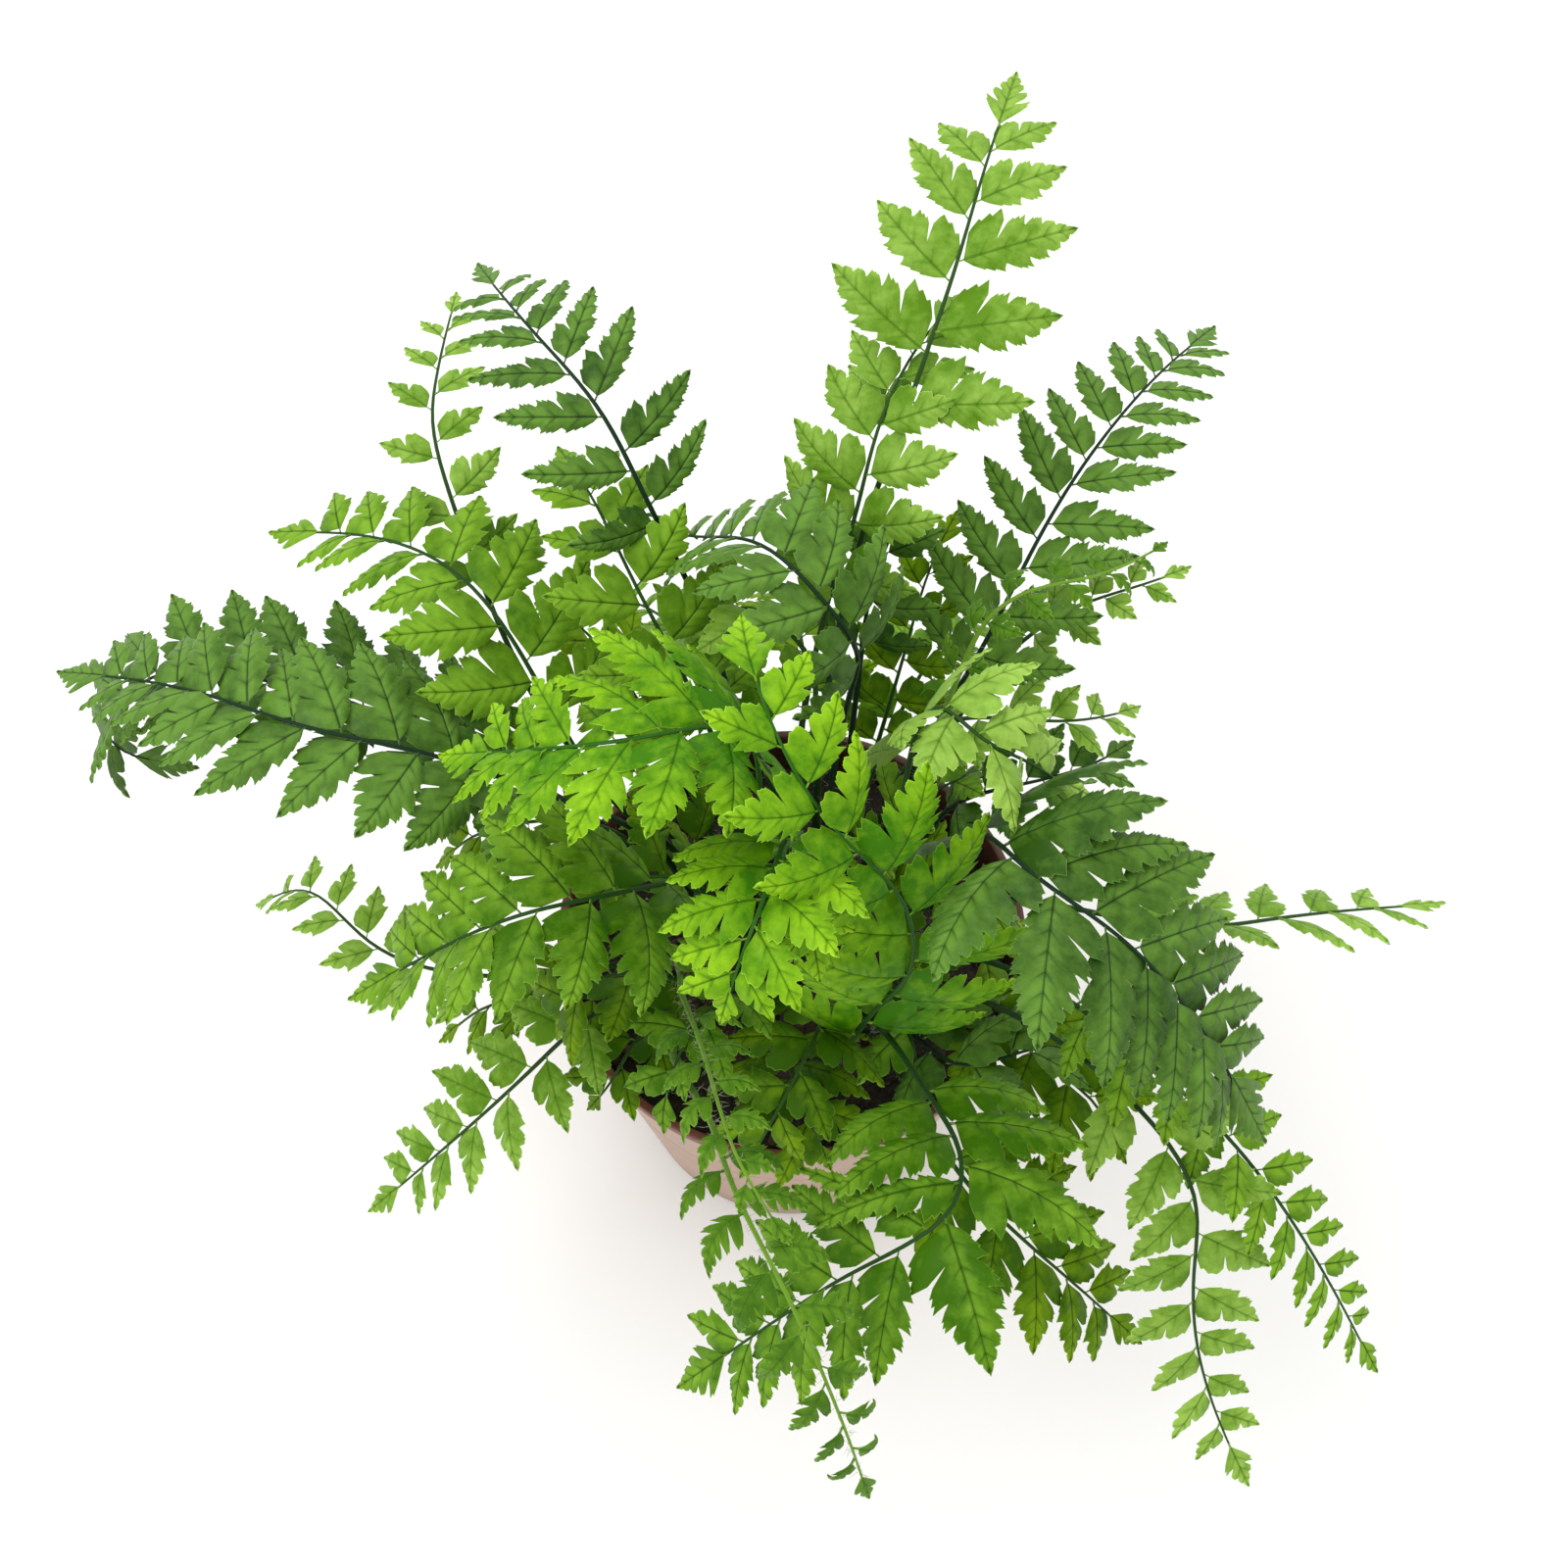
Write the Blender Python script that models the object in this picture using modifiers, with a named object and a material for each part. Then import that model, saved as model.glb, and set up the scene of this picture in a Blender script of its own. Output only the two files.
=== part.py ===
"""Potted rock fern: a tapered plastic pot, its soil, a half-buried rhizome and one object per frond.

Metres, +Z up. The origin is the middle of the pot's flat underside. Routes and outlines of the
fronds are written in millimetres and scaled once, when their meshes are made.
"""

import math
import random
from collections import namedtuple

import bmesh
import bpy
import numpy as np
from mathutils import Vector
from mathutils.bvhtree import BVHTree
from mathutils.geometry import tessellate_polygon
from mathutils.kdtree import KDTree

MM = 0.001
GAP = 0.3 * MM

# Pot
POT_HEIGHT = 100 * MM
RIM_RADIUS = 60 * MM
BASE_RADIUS = 44 * MM
WALL = 1.3 * MM
FLOOR = 2.0 * MM
LIP_HEIGHT = 4 * MM
LIP_OUT = 1.2 * MM
POT_SIDES = 27
DRAIN_HOLES = 4
DRAIN_RADIUS = 4 * MM
DRAIN_CIRCLE = 30 * MM
DRAIN_SIDES = 8

# Soil and rhizome
SOIL_TOP = 88 * MM
SOIL_CROWN = 2 * MM
RHIZOME_CENTRE = (1 * MM, -6 * MM)
RHIZOME_RADIUS = 33 * MM
RHIZOME_BOTTOM = 76 * MM
RHIZOME_TOP = 94 * MM
RHIZOME_SIDES = 20
SOCKET_BOTTOM = 82 * MM
SOCKET_RADIUS = 2.35 * MM
SOCKET_SIDES = 4

# Fronds, in millimetres
STEM_FOOT = 83.0
STEM_FREE = 95.0
STEM_RADIUS = 1.3
RIB_RADIUS = 0.9
TIP_RADIUS = 0.55
BLADE_THICKNESS = 0.7
FOOT_SPACING = 5.4
CURVE_STEP = 2.0
STEM_CLEARANCE = 4.2
STEM_FIXED = 7
STEM_RING_SPACING = 45.0
STEM_RING_TURN = 11.0
PAIR_CLOSING = 0.22
LEFT_OFFSET = 0.02
RIGHT_OFFSET = 0.36
RING_OFFSET = 0.18
LEAF_CLEARANCE = 0.4
FALCATE = 0.06
SEED = 7

Frond = namedtuple("Frond", "name tone leaf pitch bare roll foot route")

FRONDS = [
    Frond("centre_arch", "bright", 31, 15.5, 50, (85, 0), (4, -30),
          [(7, -39, 110), (17, -44, 150), (24, -46, 180), (21, -43, 206), (10, -42, 228),
           (-1, -35, 246), (-8, -18, 252), (-10, -4, 247)]),
    Frond("left_bright", "bright", 30, 9.5, 118, (0, 0), (-6, -4),
          [(-7, -16, 205), (-12, -18, 230), (-28, -25, 238), (-50, -23, 230), (-71, -14, 212)]),
    Frond("front_bright", "bright", 23, 8, 124, (0, 0), (-8, -14),
          [(-2, -33, 212), (-5, -48, 222), (-8, -57, 222), (-11, -63, 216), (-14, -68, 204)]),
    Frond("right_big", "dark", 36, 10.4, 104, (0, 0), (22, -4),
          [(31, -21, 180), (38, -32, 212), (45, -45, 221), (59, -55, 218), (72, -63, 207),
           (84, -71, 190), (95, -80, 170)]),
    Frond("right_arch_light", "light", 22, 9, 114, (0, 0), (16, -2),
          [(23, -13, 200), (30, -12, 226), (36, -18, 226), (44, -19, 220), (59, -18, 200)]),
    Frond("crozier_front", "young", 15, 12.5, 116, (0, 0), (-20, -20),
          [(-27, -39, 125), (-18, -72, 165), (-10, -100, 195), (-1, -119, 200), (7, -134, 188),
           (14, -146, 160)]),
    Frond("front_dark", "mid", 31, 10.5, 92, (0, 0), (14, -24),
          [(20, -43, 140), (29, -75, 176), (32, -92, 186), (30, -98, 187), (22, -104, 184),
           (11, -108, 177), (-2, -113, 165), (-24, -121, 136)]),
    Frond("left_long", "dark", 28, 11, 100, (0, 0), (-22, 0),
          [(-36, 2, 150), (-53, -4, 178), (-77, -6, 200), (-98, -4, 206), (-122, 6, 203),
           (-164, 24, 184)]),
    Frond("left_up_mid", "mid", 27, 12, 96, (0, 0), (-16, 6),
          [(-39, 7, 150), (-55, 14, 196), (-67, 28, 209), (-89, 45, 205), (-120, 58, 190)]),
    Frond("left_up_dark", "dark", 24, 11, 130, (0, 0), (-10, 14),
          [(-19, 32, 190), (-32, 42, 228), (-39, 51, 239), (-51, 66, 243), (-70, 102, 230)]),
    Frond("back_inner", "light", 23, 11, 110, (0, 0), (-2, 10),
          [(9, 36, 200), (13, 41, 217), (18, 52, 234), (27, 69, 242), (37, 84, 240)]),
    Frond("back_tall", "light", 28, 13.5, 146, (0, 0), (6, 16),
          [(13, 39, 205), (24, 56, 240), (31, 70, 254), (38, 91, 264), (47, 121, 266)]),
    Frond("crozier_right", "young", 10, 10, 108, (0, 0), (24, 4),
          [(33, 11, 190), (36, 13, 206), (40, 17, 215), (49, 19, 223), (58, 20, 225),
           (78, 33, 220)]),
    Frond("back_right", "dark", 25, 10, 88, (0, 0), (20, 14),
          [(36, 27, 165), (44, 32, 188), (54, 46, 205), (63, 59, 212), (77, 77, 216),
           (99, 106, 206)]),
    Frond("left_broad", "mid", 29, 10, 90, (0, 0), (-18, -10),
          [(-23, -21, 170), (-38, -36, 194), (-52, -42, 199), (-68, -44, 190), (-94, -48, 168)]),
    Frond("left_curl", "dark", 29, 12, 82, (0, 0), (-24, 6),
          [(-50, 15, 135), (-88, 18, 172), (-102, 20, 180), (-122, 23, 184), (-143, 26, 180),
           (-154, 23, 172), (-159, 21, 160), (-144, 25, 140)]),
    Frond("left_up_light", "light", 16, 11, 118, (0, 0), (-18, 12),
          [(-50, 26, 140), (-66, 37, 180), (-76, 57, 206), (-80, 72, 213), (-80, 84, 214),
           (-79, 115, 208)]),
    Frond("left_inner_up", "mid", 24, 12, 92, (0, 0), (-12, 8),
          [(-19, 13, 180), (-27, 18, 205), (-34, 28, 215), (-41, 42, 219), (-52, 65, 212)]),
    Frond("centre_back_dark", "dark", 24, 9.5, 116, (0, 0), (6, 6),
          [(13, 17, 190), (7, 11, 228), (-2, 19, 233), (-18, 36, 218), (-32, 50, 202)]),
    Frond("centre_back_side", "light", 22, 12, 104, (0, 0), (-4, 4),
          [(5, 18, 180), (-2, 22, 205), (-10, 25, 208), (-17, 26, 203), (-34, 34, 188)]),
    Frond("front_bright_side", "bright", 19, 8, 102, (0, 0), (2, -12),
          [(-1, -22, 195), (-2, -30, 205), (-1, -39, 210), (2, -47, 208), (5, -56, 196)]),
    Frond("crozier_front_small", "young", 12, 13, 92, (0, 0), (-24, -12),
          [(-27, -26, 140), (-19, -62, 180), (-13, -87, 202), (-10, -96, 207), (-1, -109, 200)]),
    Frond("front_right_low", "light", 22, 12, 92, (0, 0), (22, -18),
          [(43, -36, 140), (69, -63, 156), (86, -83, 142), (87, -95, 129), (89, -107, 115),
           (104, -132, 84)]),
    Frond("right_low_outer", "mid", 19, 9.5, 82, (0, 0), (26, -12),
          [(53, -35, 150), (77, -59, 158), (96, -75, 148), (108, -87, 137), (131, -111, 104)]),
    Frond("front_olive", "olive", 26, 11, 58, (0, 0), (18, -26),
          [(28, -52, 120), (38, -72, 124), (51, -84, 118), (65, -93, 108), (81, -102, 92)]),
    Frond("left_front_low", "light", 21, 10.5, 60, (0, 0), (-22, -18),
          [(-30, -27, 130), (-47, -39, 136), (-58, -48, 132), (-84, -64, 112), (-101, -72, 96)]),
    Frond("left_low_far", "light", 17, 11, 58, (0, 0), (-24, -8),
          [(-44, -21, 125), (-76, -27, 134), (-99, -19, 134), (-113, -6, 132), (-134, 1, 112)]),
    Frond("right_far_narrow", "light", 20, 12, 86, (35, 35), (28, 2),
          [(65, -18, 150), (89, -28, 162), (106, -26, 162), (147, -19, 155)]),
    Frond("right_far_light", "light", 14, 9.5, 82, (0, 0), (26, 10),
          [(44, 36, 160), (52, 37, 176), (64, 38, 190), (76, 39, 196), (89, 45, 195)]),
    Frond("centre_back_right", "olive", 18, 11, 52, (0, 0), (12, 12),
          [(21, 32, 140), (24, 34, 162), (27, 39, 178), (31, 48, 190), (38, 62, 194)]),
    Frond("back_mid_dark", "dark", 20, 11, 84, (0, 0), (12, 18),
          [(16, 37, 175), (18, 38, 200), (22, 46, 208), (26, 55, 206)]),
    Frond("right_back_low", "dark", 20, 11, 52, (0, 0), (30, -4),
          [(36, 12, 140), (52, 10, 158), (66, 12, 162), (80, 22, 158)]),
    Frond("right_back_light", "light", 16, 11, 60, (0, 0), (22, 20),
          [(32, 32, 140), (46, 24, 165), (60, 20, 170), (82, 30, 160)]),
    Frond("right_under", "olive", 26, 11, 44, (0, 0), (24, -22),
          [(38, -24, 120), (56, -45, 134), (67, -56, 132), (76, -68, 120)]),
    Frond("front_dark_low", "dark", 25, 12, 40, (0, 0), (10, -32),
          [(28, -39, 125), (38, -51, 138), (51, -49, 140), (65, -44, 130)]),
    Frond("front_left_mid", "olive", 23, 12, 54, (0, 0), (-14, -24),
          [(-24, -31, 140), (-36, -36, 156), (-45, -39, 156), (-53, -45, 138)]),
    Frond("left_back_olive", "olive", 22, 12, 50, (0, 0), (-26, 0),
          [(-40, 8, 135), (-56, 4, 152), (-72, 2, 150), (-85, 0, 135)]),
    Frond("left_side_low", "olive", 19, 11, 42, (0, 0), (-28, -12),
          [(-40, -25, 120), (-55, -30, 127), (-71, -29, 121), (-86, -33, 106)]),
    Frond("left_mid_olive", "olive", 21, 12, 56, (0, 0), (-18, 18),
          [(-26, 26, 130), (-39, 36, 160), (-50, 46, 170), (-62, 56, 165)]),
    Frond("soil_left", "olive", 20, 10, 20, (0, 0), (-16, -28),
          [(-28, -31, 112), (-36, -37, 121), (-41, -45, 119), (-49, -50, 106)]),
    Frond("soil_front", "olive", 25, 10, 18, (0, 0), (-4, -30),
          [(-2, -36, 110), (0, -48, 123), (4, -58, 122), (9, -67, 112)]),
    Frond("centre_low_left", "olive", 23, 12, 34, (0, 0), (-12, -6),
          [(-20, -6, 128), (-32, -8, 147), (-44, -13, 148), (-52, -20, 140)]),
    Frond("centre_low_right", "olive", 23, 12, 34, (0, 0), (12, -12),
          [(22, -10, 125), (34, -11, 143), (46, -12, 142), (55, -15, 130)]),
    Frond("centre_low_front", "olive", 22, 12, 40, (0, 0), (8, -20),
          [(8, -32, 130), (4, -48, 142), (-4, -62, 136), (-12, -72, 122)]),
    Frond("centre_low_back", "mid", 23, 13, 50, (0, 0), (-2, 18),
          [(-8, 28, 140), (-20, 38, 154), (-32, 52, 150), (-38, 66, 138)]),
    Frond("centre_low_far", "olive", 22, 12, 26, (0, 0), (-18, 4),
          [(-20, 8, 108), (-24, 12, 122), (-33, 15, 130), (-43, 13, 127)]),
    Frond("inner_right", "mid", 22, 12, 26, (0, 0), (20, -14),
          [(22, -20, 110), (25, -29, 124), (28, -41, 131), (30, -53, 127)]),
    Frond("soil_right", "olive", 20, 11, 22, (0, 0), (26, -4),
          [(30, -7, 108), (37, -12, 118), (47, -17, 122), (57, -22, 118)]),
    Frond("inner_back_right", "mid", 22, 12.5, 26, (0, 0), (16, 6),
          [(19, 9, 112), (25, 13, 131), (33, 16, 143), (44, 18, 148), (55, 16, 144)]),
    Frond("inner_front", "mid", 20, 12, 44, (0, 0), (-4, -20),
          [(-10, -30, 135), (-18, -42, 150), (-24, -54, 148), (-28, -66, 136)]),
    Frond("back_low_left", "mid", 21, 13, 46, (0, 0), (-10, 22),
          [(-14, 36, 125), (-24, 58, 140), (-38, 78, 132), (-50, 94, 112)]),
    Frond("back_low_mid", "olive", 21, 13, 44, (0, 0), (0, 24),
          [(2, 38, 120), (3, 60, 136), (0, 80, 130), (-4, 98, 110)]),
    Frond("back_low_right", "mid", 21, 13, 46, (0, 0), (14, 24),
          [(22, 36, 125), (34, 56, 138), (46, 74, 130), (60, 92, 110)]),
]

# Leaflet outlines: (place along the midrib, place across as a share of the full width).
# Across is positive on the side that faces the frond's tip, where the base is enlarged.
LONG_OUTLINE = [(0.18, 0.66), (0.30, 0.32), (0.56, 0.50), (0.62, 0.27), (1.00, 0.00),
                (0.60, -0.44), (0.50, -0.30), (0.34, -0.50), (0.12, -0.44)]
MEDIUM_OUTLINE = [(0.20, 0.66), (0.34, 0.33), (0.62, 0.46), (1.00, 0.00), (0.54, -0.45),
                  (0.16, -0.46)]
SHORT_OUTLINE = [(0.24, 0.62), (0.42, 0.36), (1.00, 0.02), (0.54, -0.44), (0.16, -0.42)]
SMALL_OUTLINE = [(0.34, 0.54), (1.00, 0.04), (0.36, -0.48)]
TIP_OUTLINE = [(0.14, 0.50), (0.30, 0.32), (0.50, 0.36), (1.00, 0.00), (0.50, -0.36),
               (0.30, -0.32), (0.14, -0.50)]
SMALL_TIP_OUTLINE = [(0.30, 0.44), (1.00, 0.00), (0.30, -0.44)]

COLOURS = {
    "light": (0.28, 0.52, 0.06),
    "bright": (0.20, 0.48, 0.03),
    "mid": (0.12, 0.34, 0.04),
    "dark": (0.06, 0.21, 0.05),
    "olive": (0.16, 0.34, 0.02),
    "young": (0.10, 0.30, 0.04),
}


def material(name, colour, roughness):
    made = bpy.data.materials.new(name)
    made.use_nodes = True
    shader = made.node_tree.nodes["Principled BSDF"]
    shader.inputs["Base Color"].default_value = (*colour, 1)
    shader.inputs["Roughness"].default_value = roughness
    made.diffuse_color = (*colour, 1)
    return made


def add_object(name, mesh, collection, finish=None):
    made = bpy.data.objects.new(name, mesh)
    if finish:
        mesh.materials.append(finish)
    collection.objects.link(made)
    return made


def mesh_of(name, verts, faces):
    mesh = bpy.data.meshes.new(name)
    mesh.from_pydata([tuple(v) for v in verts], [], faces)
    return mesh


def turned(name, profile, collection, finish, centre=(0, 0), sides=POT_SIDES):
    """Solid turned about the vertical axis from a profile of (radius, height) points."""
    points = [(r, 0, z) for r, z in profile]
    edges = [(i, i + 1) for i in range(len(points) - 1)]
    mesh = bpy.data.meshes.new(name)
    mesh.from_pydata(points, edges, [])
    made = add_object(name, mesh, collection, finish)
    made.location = (*centre, 0)
    screw = made.modifiers.new("turn", "SCREW")
    screw.steps = sides
    screw.render_steps = sides
    screw.use_merge_vertices = True
    screw.merge_threshold = 0.00001
    screw.use_smooth_shade = True
    return made


def cut(target, cutter):
    """Boolean difference that stays on the object."""
    cutter.hide_render = True
    cutter.display_type = "WIRE"
    difference = target.modifiers.new("cut_" + cutter.name, "BOOLEAN")
    difference.operation = "DIFFERENCE"
    difference.solver = "EXACT"
    difference.object = cutter


def prisms(name, centres, radius, low, high, sides, collection):
    """One cutter object made of upright prisms that don't touch each other."""
    work = bmesh.new()
    for x, y in centres:
        ring = bmesh.ops.create_cone(work, cap_ends=True, segments=sides, radius1=radius,
                                     radius2=radius, depth=high - low)
        bmesh.ops.translate(work, verts=ring["verts"], vec=(x, y, (low + high) / 2))
    mesh = bpy.data.meshes.new(name)
    work.to_mesh(mesh)
    work.free()
    return add_object(name, mesh, collection)


def wall_radius(z):
    """Outer radius of the pot's tapered wall, without the lip."""
    top = RIM_RADIUS - LIP_OUT
    return BASE_RADIUS + (top - BASE_RADIUS) * z / POT_HEIGHT


def pot_profile():
    """Outer side from the lip down, the underside, then the inner side back up to the lip."""
    lip_low = POT_HEIGHT - LIP_HEIGHT
    foot = 1.2 * MM
    outer = [
        (RIM_RADIUS - 0.5 * MM, POT_HEIGHT),
        (RIM_RADIUS, POT_HEIGHT - 0.6 * MM),
        (RIM_RADIUS - 0.3 * MM, lip_low + 0.5 * MM),
        (wall_radius(lip_low), lip_low),
        (wall_radius(foot), foot),
        (BASE_RADIUS - 0.8 * MM, 0),
        (0, 0),
    ]
    inner = [
        (0, FLOOR),
        (wall_radius(FLOOR) - WALL - 1.5 * MM, FLOOR),
        (wall_radius(FLOOR) - WALL, FLOOR + 1.5 * MM),
        (wall_radius(POT_HEIGHT) - WALL, POT_HEIGHT - 0.4 * MM),
        (wall_radius(POT_HEIGHT) - WALL + 0.4 * MM, POT_HEIGHT),
    ]
    return outer, inner


def make_pot(collection, cutters):
    finish = material("pot_plastic", (0.55, 0.33, 0.26), 0.45)
    outer, inner = pot_profile()
    # The profile starts on the axis inside, so both of its ends close on the axis.
    pot = turned("pot", inner + outer, collection, finish)
    angles = [2 * math.pi * (i + 0.5) / DRAIN_HOLES for i in range(DRAIN_HOLES)]
    centres = [(DRAIN_CIRCLE * math.cos(a), DRAIN_CIRCLE * math.sin(a)) for a in angles]
    cut(pot, prisms("drain_holes", centres, DRAIN_RADIUS, -FLOOR, 2 * FLOOR, DRAIN_SIDES, cutters))


def soil_side(z):
    """Radius of the soil where it fills the pot, a gap inside the wall."""
    return wall_radius(z) - WALL - GAP


def soil_profile():
    low = FLOOR + GAP
    return [
        (0, SOIL_TOP + SOIL_CROWN),
        (RHIZOME_RADIUS + 8 * MM, SOIL_TOP + 0.6 * SOIL_CROWN),
        (soil_side(SOIL_TOP) - 5 * MM, SOIL_TOP + 0.5 * MM),
        (soil_side(SOIL_TOP), SOIL_TOP - 1 * MM),
        (soil_side(low + 2 * MM), low + 2 * MM),
        (soil_side(low) - 2.2 * MM, low),
        (0, low),
    ]


def make_soil(collection, cutters):
    finish = material("potting_soil", (0.02, 0.015, 0.01), 0.95)
    soil = turned("soil", soil_profile(), collection, finish)
    pocket = prisms("rhizome_pocket", [RHIZOME_CENTRE], RHIZOME_RADIUS + GAP,
                    RHIZOME_BOTTOM - GAP, POT_HEIGHT, POT_SIDES, cutters)
    cut(soil, pocket)


def rhizome_profile():
    """A low dome down to just above the soil, then the buried sides and underside."""
    shoulder = SOIL_TOP + 1 * MM
    rise = RHIZOME_TOP - shoulder
    return [
        (0, RHIZOME_TOP),
        (0.50 * RHIZOME_RADIUS, shoulder + 0.87 * rise),
        (0.87 * RHIZOME_RADIUS, shoulder + 0.50 * rise),
        (RHIZOME_RADIUS, shoulder),
        (RHIZOME_RADIUS, RHIZOME_BOTTOM + 2 * MM),
        (RHIZOME_RADIUS - 3 * MM, RHIZOME_BOTTOM),
        (0, RHIZOME_BOTTOM),
    ]


def make_rhizome(collection, cutters, feet):
    finish = material("rhizome_scales", (0.10, 0.05, 0.02), 0.9)
    rhizome = turned("rhizome", rhizome_profile(), collection, finish, RHIZOME_CENTRE,
                     RHIZOME_SIDES)
    centres = [(x * MM, y * MM) for x, y in feet]
    cut(rhizome, prisms("stem_sockets", centres, SOCKET_RADIUS, SOCKET_BOTTOM,
                        POT_HEIGHT, SOCKET_SIDES, cutters))


def unit(vector):
    return vector / max(np.linalg.norm(vector), 1e-9)


def spaced_feet():
    """Feet of the stems on the rhizome, nudged apart so that their sockets stay clear."""
    feet = np.array([f.foot for f in FRONDS], float)
    centre = np.array(RHIZOME_CENTRE) / MM
    reach = RHIZOME_RADIUS / MM - 3.5
    for _ in range(400):
        for i in range(len(feet)):
            for j in range(i):
                apart = feet[i] - feet[j]
                far = np.linalg.norm(apart)
                if far < FOOT_SPACING:
                    shift = apart / max(far, 1e-6) * (FOOT_SPACING - far) / 2
                    feet[i] += shift
                    feet[j] -= shift
        for i in range(len(feet)):
            out = feet[i] - centre
            far = np.linalg.norm(out)
            if far > reach:
                feet[i] = centre + out / far * reach
    return feet


def spline(points, start_slope):
    """Cubic spline through the points by chord length, leaving along start_slope."""
    pts = np.array(points, float)
    knots = distances(pts)
    h = np.diff(knots)
    count = len(pts)
    left = np.zeros((count, count))
    right = np.zeros((count, 3))
    slope = np.diff(pts, axis=0) / h[:, None]
    left[0, 0], left[0, 1] = 2 * h[0], h[0]
    right[0] = 6 * (slope[0] - np.array(start_slope, float))
    left[-1, -1] = 1
    for i in range(1, count - 1):
        left[i, i - 1], left[i, i], left[i, i + 1] = h[i - 1], 2 * (h[i - 1] + h[i]), h[i]
        right[i] = 6 * (slope[i] - slope[i - 1])
    bend = np.linalg.solve(left, right)
    where = np.linspace(0, knots[-1], int(knots[-1] / CURVE_STEP) + 1)
    span = np.clip(np.searchsorted(knots, where, side="right") - 1, 0, count - 2)
    a = (knots[span + 1] - where) / h[span]
    b = (where - knots[span]) / h[span]
    bent = (a ** 3 - a)[:, None] * bend[span] + (b ** 3 - b)[:, None] * bend[span + 1]
    return a[:, None] * pts[span] + b[:, None] * pts[span + 1] + bent * (h[span] ** 2)[:, None] / 6


def distances(curve):
    """Distance of each point of a curve from its start, measured along the curve."""
    return np.concatenate([[0], np.cumsum(np.linalg.norm(np.diff(curve, axis=0), axis=1))])


def resampled(curve):
    """The same curve with evenly spaced points."""
    far = distances(curve)
    where = np.linspace(0, far[-1], int(round(far[-1] / CURVE_STEP)) + 1)
    return np.stack([np.interp(where, far, curve[:, k]) for k in range(3)], axis=1)


def pushes(curves):
    """For each point of each curve, the push away from the nearest other stem."""
    tree = KDTree(sum(len(curve) for curve in curves))
    owner = []
    for i, curve in enumerate(curves):
        for j, point in enumerate(curve):
            tree.insert(point, len(owner))
            owner.append((i, j))
    tree.balance()
    moves = [np.zeros_like(curve) for curve in curves]
    close = False
    for i, curve in enumerate(curves):
        for j in range(STEM_FIXED, len(curve)):
            for found, index, far in tree.find_range(curve[j], STEM_CLEARANCE):
                other, place = owner[index]
                if other == i or place < STEM_FIXED:
                    continue
                close = close or far < STEM_CLEARANCE - 0.15
                away = unit(curve[j] - np.array(found) + 1e-4)
                push = away * (STEM_CLEARANCE - far) / 2
                if np.dot(push, push) > np.dot(moves[i][j], moves[i][j]):
                    moves[i][j] = push
    return moves, close


def pushed_apart(curves):
    """Stems that pass too near each other bend smoothly clear, with their feet left in place."""
    curves = [curve.copy() for curve in curves]
    spread = 9
    weight = np.exp(-(np.arange(-spread, spread + 1) / (spread * 0.45)) ** 2)
    for _ in range(120):
        moves, close = pushes(curves)
        if not close:
            break
        for curve, move in zip(curves, moves):
            total = np.zeros_like(curve)
            norm = np.zeros(len(curve))
            for j in np.nonzero(np.abs(move).sum(axis=1))[0]:
                low, high = max(0, j - spread), min(len(curve), j + spread + 1)
                share = weight[low - j + spread:high - j + spread]
                total[low:high] += share[:, None] * move[j]
                norm[low:high] += share
            ease = np.clip((np.arange(len(curve)) - STEM_FIXED) / 6, 0, 1)
            curve += total / np.maximum(norm, 1)[:, None] * ease[:, None]
    return curves


def frames(curve, blade_start, roll):
    """Tangent, side and upper normal along a stem, level in the blade."""
    tangent = np.gradient(curve, axis=0)
    tangent /= np.linalg.norm(tangent, axis=1)[:, None]
    count = len(curve)
    # The blade is level near its middle; its frame is carried from there both ways.
    anchor = int(blade_start + 0.45 * (count - blade_start))
    heading = curve[min(anchor + 12, count - 1)] - curve[max(anchor - 12, 0)]
    level = np.cross(heading, (0, 0, 1))
    side = np.zeros_like(curve)
    side[anchor] = unit(level - np.dot(level, tangent[anchor]) * tangent[anchor])
    for order in (range(anchor + 1, count), range(anchor - 1, -1, -1)):
        for i in order:
            last = side[i - 1] if order.step == 1 else side[i + 1]
            carried = unit(last - np.dot(last, tangent[i]) * tangent[i])
            flat = np.cross(tangent[i], (0, 0, 1))
            weight = 0.10 * np.linalg.norm(flat) ** 2
            sign = 1 if np.dot(flat, carried) > 0 else -1
            mixed = carried * (1 - weight) + sign * unit(flat) * weight
            side[i] = unit(mixed - np.dot(mixed, tangent[i]) * tangent[i])
    share = np.clip((np.arange(count) - blade_start) / max(count - blade_start, 1), 0, 1)
    turn = np.radians(roll[0] + (roll[1] - roll[0]) * share)
    normal = np.cross(side, tangent)
    rolled = np.cos(turn)[:, None] * side + np.sin(turn)[:, None] * normal
    return tangent, rolled, np.cross(rolled, tangent)


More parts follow.
